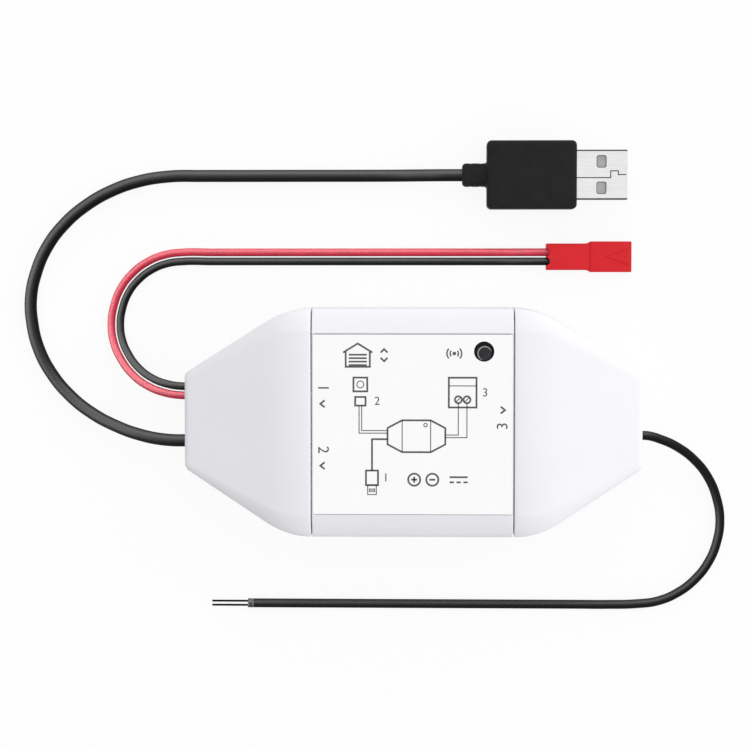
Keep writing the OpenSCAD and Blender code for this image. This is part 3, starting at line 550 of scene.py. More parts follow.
def carve(piece, *bars, operation="DIFFERENCE"):
    """Cuts bars from a piece, or adds them to it."""
    cutter = linked("cutter", mesh_of("cutter", *bars))
    change = piece.modifiers.new("Cut", "BOOLEAN")
    change.object = cutter
    change.operation = operation
    change.solver = "EXACT"
    settle(piece)
    bpy.data.objects.remove(cutter)


def smooth(piece, angle=30.0):
    """Shades a piece smooth, apart from its sharp edges."""
    shape = bmesh.new()
    shape.from_mesh(piece.data)
    bmesh.ops.dissolve_degenerate(shape, dist=SLIVER, edges=shape.edges)
    shape.to_mesh(piece.data)
    shape.free()
    piece.data.shade_smooth()
    piece.data.set_sharp_from_angle(angle=math.radians(angle))
    return piece


def dress(piece, slot, *nodes, body="case", look=None):
    """Gives a piece its finish and its body, and hides the solids that it stands for."""
    piece.data.materials.clear()
    piece.data.materials.append(finish(look or slot))
    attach(piece, body)
    if nodes:
        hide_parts(*nodes)
    return piece


def tree_with_sizes(name, labels):
    """A geometry tree with a named input for each size, and one for the material."""
    tree = bpy.data.node_groups.new(name, "GeometryNodeTree")
    for label in labels:
        tree.interface.new_socket(label, in_out="INPUT", socket_type="NodeSocketFloat")
    tree.interface.new_socket("Material", in_out="INPUT", socket_type="NodeSocketMaterial")
    tree.interface.new_socket("Geometry", in_out="OUTPUT", socket_type="NodeSocketGeometry")
    source = tree.nodes.new("NodeGroupInput")
    sizes = {label: Field(tree, source.outputs[label]) for label in labels}
    return tree, sizes, source.outputs["Material"]


def close_tree(tree, geometry, material):
    """Ends a geometry tree in plain, painted geometry."""
    plain = node(tree, "GeometryNodeRealizeInstances", Geometry=geometry)
    painted = node(tree, "GeometryNodeSetMaterial", Geometry=plain.outputs[0], Material=material)
    node(tree, "NodeGroupOutput", Geometry=painted.outputs[0])
    return tree


def grown(name, tree, values):
    """An object whose mesh a geometry tree has made."""
    made = linked(name, bpy.data.meshes.new(name))
    change = made.modifiers.new("Tree", "NODES")
    change.node_group = tree
    for item in tree.interface.items_tree:
        if item.item_type == "SOCKET" and item.in_out == "INPUT":
            change[item.identifier] = values[item.name]
    settle(made)
    shape = bmesh.new()
    shape.from_mesh(made.data)
    cleaned(shape, made.data)
    return made


# Finishes


def noise(tree, vector, scale, detail=2.0, roughness=0.5):
    """A noise field with values round a half."""
    made = node(tree, "ShaderNodeTexNoise", Vector=vector, Scale=scale, Detail=detail, Roughness=roughness)
    return Field(tree, made.outputs[0])


def blended(tree, share, low, high):
    """A colour between two others; the node's colour sockets have the numbers 6, 7 and 2."""
    made = tree.nodes.new("ShaderNodeMix")
    made.data_type = "RGBA"
    for number, value in ((0, share), (6, low), (7, high)):
        feed(tree, made.inputs[number], value)
    return made.outputs[2]


def emptied(owner):
    """The node tree of a material or a world, with nothing in it."""
    owner.use_nodes = True
    owner.node_tree.nodes.clear()
    return owner.node_tree


def bare_material(name, **constants):
    """A material with a principled shader, whose constants are set on the shader itself."""
    material = bpy.data.materials.new(name)
    tree = emptied(material)
    shader = node(tree, "ShaderNodeBsdfPrincipled", **constants)
    node(tree, "ShaderNodeOutputMaterial", Surface=shader.outputs[0])
    place = tree.nodes.new("ShaderNodeTexCoord")
    return material, tree, shader, place.outputs["Object"]


def coated(tree, shader, colour, roughness, height, depth):
    """Feeds the shader's colour, its roughness and, through a bump, its normal."""
    bump = node(tree, "ShaderNodeBump", Height=height, Distance=depth, Strength=1.0)
    for label, value in (("Base Color", colour), ("Roughness", roughness), ("Normal", bump.outputs[0])):
        feed(tree, shader.inputs[label], value)


def shaded(colour, share):
    """A colour and its darker tone, with alpha."""
    return (*colour, 1.0), (*[value * share for value in colour], 1.0)


def moulded_pattern(tree, given):
    """Tone in faint clouds and a fine grain, as on moulded plastic."""
    cloudy = noise(tree, given["Vector"], given["Tone Scale"], detail=3.0, roughness=0.55)
    grain = noise(tree, given["Vector"], given["Grain Scale"], detail=2.0, roughness=0.6)
    return ((cloudy - 0.35) * 3.3).share(), grain


def rolled_pattern(tree, given):
    """Fine lines along X, as on drawn or rolled metal."""
    drawn_out = node(tree, "ShaderNodeMapping", Vector=given["Vector"], Scale=(0.04, 1.0, 1.0))
    lines = noise(tree, drawn_out.outputs[0], given["Grain Scale"], detail=4.0, roughness=0.65)
    cloudy = noise(tree, given["Vector"], given["Tone Scale"], detail=3.0)
    return ((lines * 0.6 + cloudy * 0.4 - 0.36) * 3.5).share(), lines


def surface(name, pattern):
    """A group that makes colour, roughness and height from a pattern's tone and height; built once."""
    if name in bpy.data.node_groups:
        return bpy.data.node_groups[name]
    tree = bpy.data.node_groups.new(name, "ShaderNodeTree")
    kinds = {"Vector": "NodeSocketVector", "Colour": "NodeSocketColor", "Shade": "NodeSocketColor"}
    sockets = {
        "INPUT": ("Vector", "Colour", "Shade", "Tone Scale", "Grain Scale", "Roughness", "Spread"),
        "OUTPUT": ("Colour", "Roughness", "Height"),
    }
    for way, labels in sockets.items():
        for label in labels:
            tree.interface.new_socket(label, in_out=way, socket_type=kinds.get(label, "NodeSocketFloat"))
    given = tree.nodes.new("NodeGroupInput").outputs
    tone, height = pattern(tree, given)
    colour = blended(tree, tone, given["Shade"], given["Colour"])
    gloss = Field(tree, given["Roughness"]) + (height - 0.5) * Field(tree, given["Spread"])
    node(tree, "NodeGroupOutput", Colour=colour, Roughness=gloss.share(), Height=height)
    return tree


def grained(name, colour, group, roughness, share, tone, grain, depth, spread, **constants):
    """A material whose colour, roughness and height come from a surface group."""
    material, tree, shader, place = bare_material(name, **constants)
    light, dark = shaded(colour, share)
    made = tree.nodes.new("ShaderNodeGroup")
    made.node_tree = group
    values = {
        "Vector": place, "Colour": light, "Shade": dark, "Tone Scale": tone, "Grain Scale": grain,
        "Roughness": roughness, "Spread": spread,
    }
    for label, value in values.items():
        feed(tree, made.inputs[label], value)
    coated(tree, shader, *[made.outputs[label] for label in ("Colour", "Roughness", "Height")], depth)
    return material


def plastic(name, colour, roughness, share, tone, grain, depth, spread=0.12, gloss=0.5):
    """Moulded plastic with a fine grain."""
    group = surface("Moulded Surface", moulded_pattern)
    level = {"Specular_IOR_Level": gloss}
    return grained(name, colour, group, roughness, share, tone, grain, depth, spread, **level)


def metal(name, colour, roughness, share, depth=0.000004, spread=0.16, tone=160.0, lines=3000.0):
    """Rolled or drawn metal with fine lines."""
    group = surface("Rubbed Lines", rolled_pattern)
    return grained(name, colour, group, roughness, share, tone, lines, depth, spread, Metallic=1.0)


def board_finish(name, mask_colour, track_colour):
    """Solder mask with copper tracks under it."""
    material, tree, shader, place = bare_material(name, Coat_Weight=0.4, Coat_Roughness=0.2)
    tracks = node(tree, "ShaderNodeTexBrick", Vector=place, Scale=420.0, Mortar_Size=0.06)
    tracks.inputs["Brick Width"].default_value = 1.9
    tracks.inputs["Row Height"].default_value = 0.55
    tracks.offset = 0.37
    tracks.offset_frequency = 3
    tracks.squash = 2.4
    tracks.squash_frequency = 2
    lines = Field(tree, tracks.outputs["Fac"])
    cloudy = noise(tree, place, 260.0, detail=3.0)
    share = (lines * 0.75 + (cloudy - 0.4) * 0.5).share()
    colour = blended(tree, share, (*mask_colour, 1.0), (*track_colour, 1.0))
    coated(tree, shader, colour, (cloudy * 0.3 + 0.2).share(), lines, 0.00003)
    return material


def winding_finish(name, colour):
    """Enamelled wire wound in close turns."""
    material, tree, shader, place = bare_material(name, Metallic=1.0, Coat_Weight=0.5, Coat_Roughness=0.15)
    turns = node(tree, "ShaderNodeTexWave", Vector=place, Scale=2600.0, Distortion=0.4)
    turns.bands_direction = "Z"
    lines = Field(tree, turns.outputs["Fac"])
    light, dark = shaded(colour, 0.45)
    coated(tree, shader, blended(tree, lines, dark, light), (0.42 - lines * 0.16).share(), lines, 0.00004)
    return material


def sleeved_can_finish(name, colour):
    """A shrink sleeve with a pale stripe down one side."""
    material, tree, shader, place = bare_material(name, Coat_Weight=0.3, Coat_Roughness=0.25)
    x, y = CAN.middle("xy")
    centred = node(tree, "ShaderNodeMapping", Vector=place, Location=(-x, -y, 0.0))
    parts = node(tree, "ShaderNodeSeparateXYZ", Vector=centred.outputs[0])
    around = reckon(tree, "ARCTAN2", parts.outputs[1], parts.outputs[0]).math("ABSOLUTE")
    speck = noise(tree, place, 900.0)
    striped = blended(tree, around.below(0.42), (*colour, 1.0), (0.62, 0.63, 0.66, 1.0))
    specked = blended(tree, speck * 0.25, striped, (0.02, 0.02, 0.03, 1.0))
    coated(tree, shader, specked, (speck * 0.25 + 0.22).share(), speck, 0.00001)
    return material


def clear_finish(name, colour):
    """Clear moulded plastic, a little frosted."""
    material, tree, shader, place = bare_material(name, Transmission_Weight=0.85, IOR=1.49, Metallic=0.0)
    speck = noise(tree, place, 1200.0, detail=3.0)
    light, dark = shaded(colour, 0.8)
    coated(tree, shader, blended(tree, speck, dark, light), (speck * 0.3 + 0.05).share(), speck, 0.00001)
    return material


def greyed_by_mask(material, mask, grey):
    """Turns a material's colour to a grey where the mask, made from the place's X, Y and Z, is 1; here it
    paints shade and highlights, and a pale patch on a cord.
    """
    tree = material.node_tree
    base = tree.nodes["Principled BSDF"].inputs["Base Color"]
    bright = base.links[0].from_socket
    parts = node(tree, "ShaderNodeSeparateXYZ", Vector=tree.nodes["Texture Coordinate"].outputs["Object"])
    share = mask(*[Field(tree, socket) for socket in parts.outputs])
    feed(tree, base, blended(tree, share, bright, (grey, grey, grey, 1.0)))
    return material


def jacket_finish(name, colour, *values):
    """Matt black jacket of the two round cords, pale in noisy patches near the control cord's cut end."""
    jacket = plastic(name, colour, *values)
    place = jacket.node_tree.nodes["Texture Coordinate"].outputs["Object"]
    pale_patches = noise(jacket.node_tree, place, 1800.0, detail=3.0, roughness=0.7)

    def pale_near_cut_end(x, y, z):
        at_cut = x.below(CORES.high.x + 0.0014) * y.below(CORES.high.y + 0.002)
        return at_cut * ((pale_patches - 0.38) * 5.0).share()

    return greyed_by_mask(jacket, pale_near_cut_end, 0.17)


def shell_finish(name, colour, *values):
    """Tinned steel of the plug's shell, with a painted dark reflection along its bends and painted shade in
    its fold groove and round its windows.
    """
    middle_y, middle_z = SHELL.middle("yz")
    half_y, half_z = SHELL.half("yz")

    def painted_shade_on_bends_and_grooves(x, y, z):
        across = (y - middle_y).math("ABSOLUTE")
        level = (z - middle_z).math("ABSOLUTE")
        # Painted dark reflection: the shell turns nearly black along the rounded bends of its sides
        bend = across.ramp(half_y - 0.00042, 0.0001) * level.ramp(half_z - 0.0009, 0.0002)
        # Painted shade: nearly black on the sunk walls of the fold groove and round the windows
        sunk = level.ramp(half_z - 0.00004, -0.00004) * level.above(half_z - 0.00031)
        inner = sunk * across.below(half_y - 0.001) * x.below(SHELL.high.x - 0.0003)
        return (bend + inner).share() * 0.97

    return greyed_by_mask(metal(name, colour, *values), painted_shade_on_bends_and_grooves, 0.008)


def button_finish(name, colour, *values):
    """Dark grey button with a painted highlight on the upper left of its rim, and painted shade, nearly
    black, down in its hole.
    """
    middle_x, middle_y = BUTTON.middle("xy")
    tip = bpy.context.scene.controller_case.button_tip / 2

    # Painted highlight: a paler arc on the upper left of the tip's rim
    def painted_highlight_rim(x, y, z):
        across = x - middle_x
        up = y - middle_y
        out = (across * across + up * up).math("SQRT")
        return out.ramp(tip - 0.00032, 0.00008) * ((up - across) / 0.0014 + 0.9).share()

    # Painted shade: nearly black below the face, down in the hole
    def painted_shade_in_hole(x, y, z):
        return z.ramp(BUTTON.high.z - 0.0003, -0.0001)

    grey = plastic(name, colour, *values)
    return greyed_by_mask(greyed_by_mask(grey, painted_highlight_rim, 0.3), painted_shade_in_hole, 0.001)


# Finishes of the record's slots, then those of single pieces. A colour is given, or is the sidebar's of that
# name. A plastic goes on with roughness, share of its darker tone, scales of tone and grain, depth of the
# grain, spread of the roughness and gloss; a metal with roughness, share, depth and spread
FINISHES = {
    "case_white": (plastic, "case", 0.42, 0.985, 40.0, 5200.0, 0.000006, 0.1, 0.35),
    "label_film": (plastic, "label", 0.5, 0.985, 120.0, 7000.0, 0.000002, 0.1, 0.3),
    "button_grey": (plastic, "button", 0.34, 0.7, 900.0, 6000.0, 0.000008, 0.12, 0.15),
    "black_plastic": (plastic, (0.02, 0.02, 0.021), 0.5, 0.7, 300.0, 5000.0, 0.00001),
    "grey_plastic": (plastic, (0.42, 0.42, 0.425), 0.5, 0.85, 300.0, 4000.0, 0.000008),
    "ivory_plastic": (plastic, (0.72, 0.68, 0.55), 0.45, 0.9, 200.0, 4000.0, 0.000008),
    "clear_plastic": (clear_finish, (0.85, 0.9, 0.92)),
    "relay_blue": (plastic, (0.03, 0.09, 0.36), 0.3, 0.8, 200.0, 4000.0, 0.000008),
    "board_green": (board_finish, (0.012, 0.11, 0.04), (0.05, 0.24, 0.1)),
    "board_blue": (board_finish, (0.008, 0.02, 0.08), (0.03, 0.08, 0.2)),
    "tinned_steel": (metal, "metal", 0.26, 0.9),
    "soft_iron": (metal, (0.56, 0.56, 0.55), 0.34, 0.82),
    "contact_brass": (metal, (0.83, 0.62, 0.26), 0.28, 0.8),
    "copper_wire": (winding_finish, (0.62, 0.22, 0.08)),
    "capacitor_can": (sleeved_can_finish, (0.03, 0.03, 0.06)),
    "chip_brown": (plastic, (0.19, 0.11, 0.06), 0.5, 0.45, 1400.0, 5000.0, 0.00002),
    "black_pvc": (plastic, "cord", 0.52, 0.75, 260.0, 3200.0, 0.000008, 0.1, 0.065),
    "red_pvc": (plastic, "red_wire", 0.57, 0.86, 260.0, 3200.0, 0.000008, 0.1, 0.12),
    "red_plastic": (plastic, "connector", 0.38, 0.95, 220.0, 4200.0, 0.00001, 0.12, 0.15),
    "plug_grip": (plastic, "grip", 0.55, 0.8, 260.0, 2600.0, 0.000015, 0.12, 0.1),
    "cord_jacket": (jacket_finish, "cord", 0.53, 0.75, 300.0, 2400.0, 0.00001, 0.1, 0.06),
    "plug_steel": (shell_finish, "metal", 0.2, 0.88, 0.000002, 0.1),
    "pairing_button": (button_finish, "button", 0.6, 0.7, 900.0, 6000.0, 0.000008, 0.12, 0.02),
    "label_ink": (plastic, "ink", 0.55, 0.8, 1500.0, 9000.0, 0.000001, 0.1, 0.2),
}


def finish(look):
    """The material of a slot or of a single piece, made when it is first asked for."""
    name = "Moulded White" if look == "case_white" else look.replace("_", " ").title()
    if name not in bpy.data.materials:
        maker, colour, *values = FINISHES[look]
        if isinstance(colour, str):
            colour = getattr(bpy.context.scene.controller_colours, colour)
        maker(name, colour, *values)
    return bpy.data.materials[name]


# Case


# Inputs of the cap's tree that are sizes of the same names
CAP_SIZES = (
    "End Height", "Shoulder", "Front Round", "Front Drop", "Back Round", "End Corner", "End Drop",
    "End Inner", "End Round", "Seam Round", "Wall", "End Wall", "Lip Root",
)


def cap_tree():
    """A tapered cap as one lofted skin: outer skin, lip, inner skin."""
    labels = ["Side", "Length", "Half Width", "Height", "End Half Width", "Seam", "Tip"]
    labels += ["Lip Outside", "Lip Inside", *CAP_SIZES]
    tree, size, material = tree_with_sizes("Tapered Cap", labels)
    grid = node(tree, "GeometryNodeMeshGrid", Vertices_X=CAP_RINGS, Vertices_Y=CAP_COLUMNS)
    index = Field(tree, tree.nodes.new("GeometryNodeInputIndex").outputs[0])
    ring = (index / CAP_COLUMNS).math("FLOOR")
    spot = index - ring * CAP_COLUMNS

    # Corner and angle of each spot on a ring
    corner = (spot / CORNER_POINTS).math("FLOOR")
    quarter = corner.math("MODULO", 4.0)
    turn = (quarter + (spot - corner * CORNER_POINTS) / (CORNER_POINTS - 1)) * (math.pi / 2)
    front = quarter.below(1.5)
    side = ((quarter + 0.5) * (math.pi / 2)).math("COSINE").math("SIGN")

    # Which stretch a ring is on
    last = OUTER_RINGS - 1
    on_lip = ring.above(last + 0.5) * ring.below(OUTER_RINGS + 3.5)
    inside = ring.above(OUTER_RINGS + 3.5)
    shown = ring.above(0.5) * ring.below(CAP_RINGS - 1.5)

    # Distance from the seam, with the rounded edges at both ends
    at_end = (1.0 - (ring - 1.0) / END_STEPS).share() * (math.pi / 2)
    at_seam = ((ring - (last - SEAM_STEPS)) / SEAM_STEPS).share() * (math.pi / 2)
    run = ((ring - (1 + END_STEPS)) / (last - SEAM_STEPS - 1 - END_STEPS)).share()
    straight = size["Length"] - size["End Round"] * (1.0 - at_end.math("SINE")) - size["Seam Round"]
    outer_u = straight * (1.0 - run) + size["Seam Round"] * (1.0 - at_seam.math("SINE"))
    inset = size["End Round"] * (1.0 - at_end.math("COSINE"))
    inset = inset + size["Seam Round"] * (1.0 - at_seam.math("COSINE"))
    deep = ((ring - (OUTER_RINGS + 4)) / (INNER_RINGS - 1)).share()
    inner_u = size["Lip Root"] + (size["Length"] - size["End Wall"] - size["Lip Root"]) * deep
    along = pick(inside, outer_u, inner_u)

    # The taper bends over the shoulder and then runs straight
    bend = along.math("MINIMUM", size["Shoulder"])
    fall = bend * bend + size["Shoulder"] * 2.0 * (along - size["Shoulder"]).math("MAXIMUM", 0.0)
    whole = size["Shoulder"] * size["Shoulder"]
    whole = whole + size["Shoulder"] * 2.0 * (size["Length"] - size["Shoulder"])
    share = fall / whole
    half = size["Half Width"] - (size["Half Width"] - size["End Half Width"]) * share
    top = size["Height"] - (size["Height"] - size["End Height"]) * share
    reach = along / size["Length"]
    bend_off = inset * CORNER_LOSS
    wide_front = pick(reach, size["Front Round"], size["End Corner"]) - bend_off
    drop_front = pick(reach, size["Front Drop"], size["End Drop"]) - bend_off
    round_back = pick(reach, size["Back Round"], size["End Corner"]) - bend_off
    inner_front = pick(reach, size["Front Round"] - size["Wall"], size["End Inner"])
    inner_back = pick(reach, size["Back Round"] - size["Wall"], size["End Inner"])

    # Offsets from the full outline: skins are inset or walled, the lip is stepped
    step = ring - OUTER_RINGS
    lip_offset = pick(step.above(1.5), size["Lip Outside"], size["Lip Inside"])
    lip_x = pick(step.above(0.5) * step.below(2.5), size["Seam"], size["Tip"])
    lip_x = lip_x + step.above(2.5) * size["Lip Root"]
    skin_side = pick(inside, inset, size["Wall"] * SIDE_WALL)
    skin_top = pick(inside, inset, size["Wall"] * TOP_WALL)
    skin_base = pick(inside, inset, size["Wall"])
    half = pick(on_lip, half - skin_side, size["Half Width"] - lip_offset)
    top = pick(on_lip, top - skin_top, size["Height"] - lip_offset)
    base = pick(on_lip, skin_base, lip_offset)
    lip_front = size["Front Round"] - lip_offset
    lip_back = size["Back Round"] - lip_offset
    wide_front = pick(on_lip, pick(inside, wide_front, inner_front), lip_front)
    drop_front = pick(on_lip, pick(inside, drop_front, inner_front), lip_front)
    round_back = pick(on_lip, pick(inside, round_back, inner_back), lip_back)

    # Place of each point; the first and last rings close to a point
    lean = turn.math("COSINE")
    crease = front * (1.0 - reach) * (1.0 - inside) * (1.0 - on_lip)
    lean = lean * (1.0 - crease + crease * lean.math("ABSOLUTE"))
    radius = pick(front, round_back, wide_front)
    rise = pick(front, round_back, drop_front)
    level = pick(front, base + round_back, top - drop_front)
    middle = (base + top) * 0.5
    x = pick(on_lip, size["Seam"] + along, lip_x) * size["Side"]
    y = (side * (half - radius) + radius * lean) * shown
    z = middle + (level + rise * turn.math("SINE") - middle) * shown
    place = node(tree, "ShaderNodeCombineXYZ", X=x, Y=y, Z=z)
    bent = node(tree, "GeometryNodeSetPosition", Geometry=grid.outputs[0], Position=place.outputs[0])
    merged = node(tree, "GeometryNodeMergeByDistance", Geometry=bent.outputs[0], Distance=CAP_WELD)
    return close_tree(tree, merged.outputs[0], material)


def lead_holes(sizes, leads, side):
    """Bars for the lead holes in one end wall, flared at the outside."""
    diameters = {"control_collar": leads.control_cord}
    if side < 0:
        diameters = {"power_collar": leads.power_cord, "sensor_collar": leads.sensor_wire}
    end = CAP.high.x
    flare = leads.hole_flare
    stations = [(end - sizes.end_wall - OVERCUT, 0.0), (end - flare, 0.0)]
    stations += [(end - along, wider) for along, wider in rounding(flare, 4)[1:]]
    stations.append((end + OVERCUT, flare))
    bars = []
    for collar, diameter in diameters.items():
        middle = Box(*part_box(collar)).middle("yz")
        apart = leads.sensor_pitch / 2 if collar == "sensor_collar" else 0.0
        rings = []
        for at, wider in stations:
            radius = diameter / 2 + leads.hole_play + wider
            rings.append(oblong("x", side * at, middle, (radius + apart, radius), radius, 8))
        bars.append(rings)
    return bars


def cap_posts(side):
    """Bars for the posts that the board's end rests between, and for the sill under the leads."""
    start = BOARD.high.x + POST_PLAY
    near, far = sorted((side * start, side * (start + POST_THICK)))
    bars = []
    for y in (-POST_AT, POST_AT):
        bars.append(block((near, y - POST_HALF, BAR_BASE), (far, y + POST_HALF, BOARD.high.z + POST_RISE)))
    near, far = sorted((side * (COLLAR.low.x - SILL_THICK), side * COLLAR.low.x))
    bars.append(block((near, SILL_LOW, BAR_BASE), (far, SILL_HIGH[side], SILL_TOP)))
    return bars


class CONTROLLER_OT_end_caps(bpy.types.Operator):
    """Build the two tapered end caps"""

    bl_idname = "controller.end_caps"
    bl_label = "End Caps"

    def execute(self, context):
        sizes = context.scene.controller_case
        leads = context.scene.controller_leads
        tree = cap_tree()
        seam = SLEEVE.high.x + sizes.seam_gap
        values = {
            "Length": CAP.high.x - seam, "Half Width": SLEEVE.high.y, "Height": SLEEVE.high.z,
            "End Half Width": sizes.end_width / 2, "Seam": seam, "Tip": CAP.low.x,
            "Lip Outside": sizes.wall + sizes.lip_gap,
            "Lip Inside": sizes.wall + sizes.lip_gap + sizes.lip_wall,
            "Material": finish("case_white"),
        }
        for label in CAP_SIZES:
            values[label] = getattr(sizes, label.lower().replace(" ", "_"))
        for side, name in ((-1, "left_cap"), (1, "right_cap")):
            cap = grown(name + "_moulding", tree, {**values, "Side": float(side)})
            carve(cap, *cap_posts(side), operation="UNION")
            carve(cap, *lead_holes(sizes, leads, side))
            if side > 0:
                carve(cap, pin("z", RELIEF_SPAN, BUTTON.middle("xy"), RELIEF_RADIUS))
            dress(smooth(cap), "case_white", name)
        return {"FINISHED"}


def sleeve_ring(sizes, x, inset, inner=False, grooved=False):
    """A ring round the sleeve: its outside with the label recess and its grooves, or its inside."""
    half = SLEEVE.high.y - inset
    top = SLEEVE.high.z - inset
    across = (sizes.front_round - inset, sizes.back_round - inset)
    down = across if inner else (sizes.front_drop - inset, across[1])
    left = LABEL.low.y - sizes.label_gap
    right = LABEL.high.y + sizes.label_gap
    width = sizes.groove_width
    floor = top if inner else LABEL.low.z - inset
    depth = floor - sizes.groove_depth if grooved else floor
    recess = [(right, top), (right, depth), (right - width, depth), (right - width, floor)]
    recess += [(left + width, floor), (left + width, depth), (left, depth), (left, top)]
    points = []
    for corner in range(4):
        radius = across[corner // 2]
        rise = down[corner // 2]
        side = 1 if corner in (0, 3) else -1
        level = top - rise if corner < 2 else inset + rise
        for step in range(CORNER_POINTS):
            turn = (corner + step / (CORNER_POINTS - 1)) * math.pi / 2
            lean = math.cos(turn)
            if corner < 2 and not inner:
                lean *= abs(lean)
            points.append((x, side * (half - radius) + radius * lean, level + rise * math.sin(turn)))
        if corner == 0:
            points += [(x, *point) for point in recess]
    return points


class CONTROLLER_OT_centre_sleeve(bpy.types.Operator):
    """Build the sleeve between the two seams, with its recess, button hole and board rails"""

    bl_idname = "controller.centre_sleeve"
    bl_label = "Centre Sleeve"

    def execute(self, context):
        sizes = context.scene.controller_case
        bend = rounding(sizes.seam_round, SEAM_STEPS)
        end = SLEEVE.high.x
        rings = []
        for side in (-1, 1):
            outer = [sleeve_ring(sizes, side * (end - along), inset) for along, inset in bend]
            inner = [sleeve_ring(sizes, side * end, sizes.wall, inner=True)]
            stop = side * (end - sizes.groove_stop)
            groove = [sleeve_ring(sizes, stop, 0.0, grooved=True), sleeve_ring(sizes, stop, 0.0)]
            rings += inner + outer[::-1] + groove[::-1] if side < 0 else groove + outer + inner
        sleeve = built("sleeve_moulding", rings, closed=True)

        # Rails that hold the board, and the seat of the light pipe
        ceiling = SLEEVE.high.z - sizes.wall
        bars = []
        for side in (-1, 1):
            near, far = sorted((side * RAIL_REACH, side * (SLEEVE.high.y - sizes.wall / 2)))
            for low in (BOARD.low.z - RAIL_PLAY - RAIL_THICK, BOARD.high.z + RAIL_PLAY):
                bars.append(block((-CAP.low.x, near, low), (CAP.low.x, far, low + RAIL_THICK)))
        pipe = PIPE.middle("xy")
        radius = PIPE.half("x")[0]
        bars.append(pin("z", (ceiling - SEAT_DROP, ceiling + SEAT_BITE), pipe, radius + SEAT_WALL))
        carve(sleeve, *bars, operation="UNION")
        carve(sleeve, pin("z", (ceiling - BORE_DROP, PIPE.high.z), pipe, radius + PIPE_PLAY))

        # Button hole and the wider bore under it
        x, y = BUTTON.middle("xy")
        web = SLEEVE.high.z - FACE_WEB
        carve(sleeve, pin("z", (ceiling - BORE_DROP, web), (x, y), BORE_RADIUS))
        hole = (x + HOLE_SHIFT[0], y + HOLE_SHIFT[1])
        carve(sleeve, pin("z", (web - OVERCUT, HOLE_TOP), hole, sizes.button_hole / 2, FINE_STEPS))
        dress(smooth(sleeve), "case_white", "centre_sleeve")
        return {"FINISHED"}


class CONTROLLER_OT_pairing_button(bpy.types.Operator):
    """Build the pairing button and the snap dome under it"""

    bl_idname = "controller.pairing_button"
    bl_label = "Pairing Button"

    def execute(self, context):
        self.button(context.scene.controller_case)
        self.snap_dome()
        return {"FINISHED"}

    def button(self, sizes):
        """The button from its socket to its slightly hollow tip."""
        tip = sizes.button_tip / 2
        collar = BUTTON.half("x")[0]
        top = BUTTON.high.z
        seat = SLEEVE.high.z - COLLAR_DROP
        under = seat - COLLAR_THICK
        profile = [(0.0, PLUNGER.high.z), (SOCKET_RADIUS, PLUNGER.high.z), (SOCKET_RADIUS, BUTTON.low.z)]
        profile += [(SKIRT_RADIUS, BUTTON.low.z), (SKIRT_RADIUS, under), (collar - BEVEL, under)]
        profile += [(collar, under + BEVEL), (collar, seat - BEVEL), (collar - BEVEL, seat)]
        profile += [(tip + BEVEL, seat), (tip, seat + BEVEL)]
        profile += [(tip - inward, top - down) for down, inward in rounding(sizes.button_edge, 5)]
        profile += [(tip - inward, top - down) for inward, down in TIP_HOLLOW]
        profile.append((0.0, top - TIP_DROP))
        button = built("button_moulding", turned(profile, BUTTON.middle("xy"), FINE_STEPS))
        dress(smooth(button), "button_grey", "pairing_button", body="button", look="pairing_button")

    def snap_dome(self):
        """The thin dome under the plunger; the real one flattens as the button goes in, but this one keeps
        its resting shape.
        """
        middle = DOME.middle("xy")
        reach = DOME.half("x")[0]
        rise = DOME.high.z - DOME.low.z - DOME_SHEET
        arch = [(reach * math.sin(turn), DOME.low.z + rise * math.cos(turn)) for turn in quarter_turns(10)]
        profile = [(radius, at + DOME_SHEET) for radius, at in arch] + arch[::-1]
        dome = dress(smooth(built("snap_dome", turned(profile, middle))), "contact_brass", "switch_dome")
        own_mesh(dome)


# Leads


def lead_exit(collar, side, shift=0.0):
    """Where a lead leaves the case."""
    y, z = Box(*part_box(collar)).middle("yz")
    return Vector((side * CAP.high.x, y + shift, z))


def route_points(start, route, diameter, far_height):
    """The points that a cord follows, from inside the case to its far end."""
    side = math.copysign(1, start.x)
    rest = diameter / 2
    points = [Vector((side * COLLAR.low.x, start.y, start.z))]
    for along, across, *rise in route:
        share, far = rise or (0, 0)
        height = far_height if far else start.z
        points.append(Vector((start.x + along, start.y + across, rest + share * (height - rest))))
    return points


def beside(points, distance):
    """The same route moved to the right of its travel."""
    moved = []
    for i, point in enumerate(points):
        travel = points[min(i + 1, len(points) - 1)] - points[max(i - 1, 0)]
        travel.z = 0.0
        travel.normalize()
        moved.append(point + Vector((travel.y, -travel.x, 0.0)) * distance)
    return moved


def run_cord(name, points, diameter):
    """A round cord along one smooth open curve."""
    curve = bpy.data.curves.new(name, "CURVE")
    curve.dimensions = "3D"
    curve.bevel_depth = diameter / 2
    curve.bevel_resolution = 6
    curve.resolution_u = 10
    curve.use_fill_caps = True
    line = curve.splines.new("BEZIER")
    line.bezier_points.add(len(points) - 1)
    for knot, point in zip(line.bezier_points, points):
        knot.co = point
        knot.handle_left_type = "AUTO"
        knot.handle_right_type = "AUTO"
    return linked(name, curve)


def run_length(points):
    """Length of a cord, taken straight from point to point."""
    return sum((after - before).length for before, after in zip(points, points[1:]))


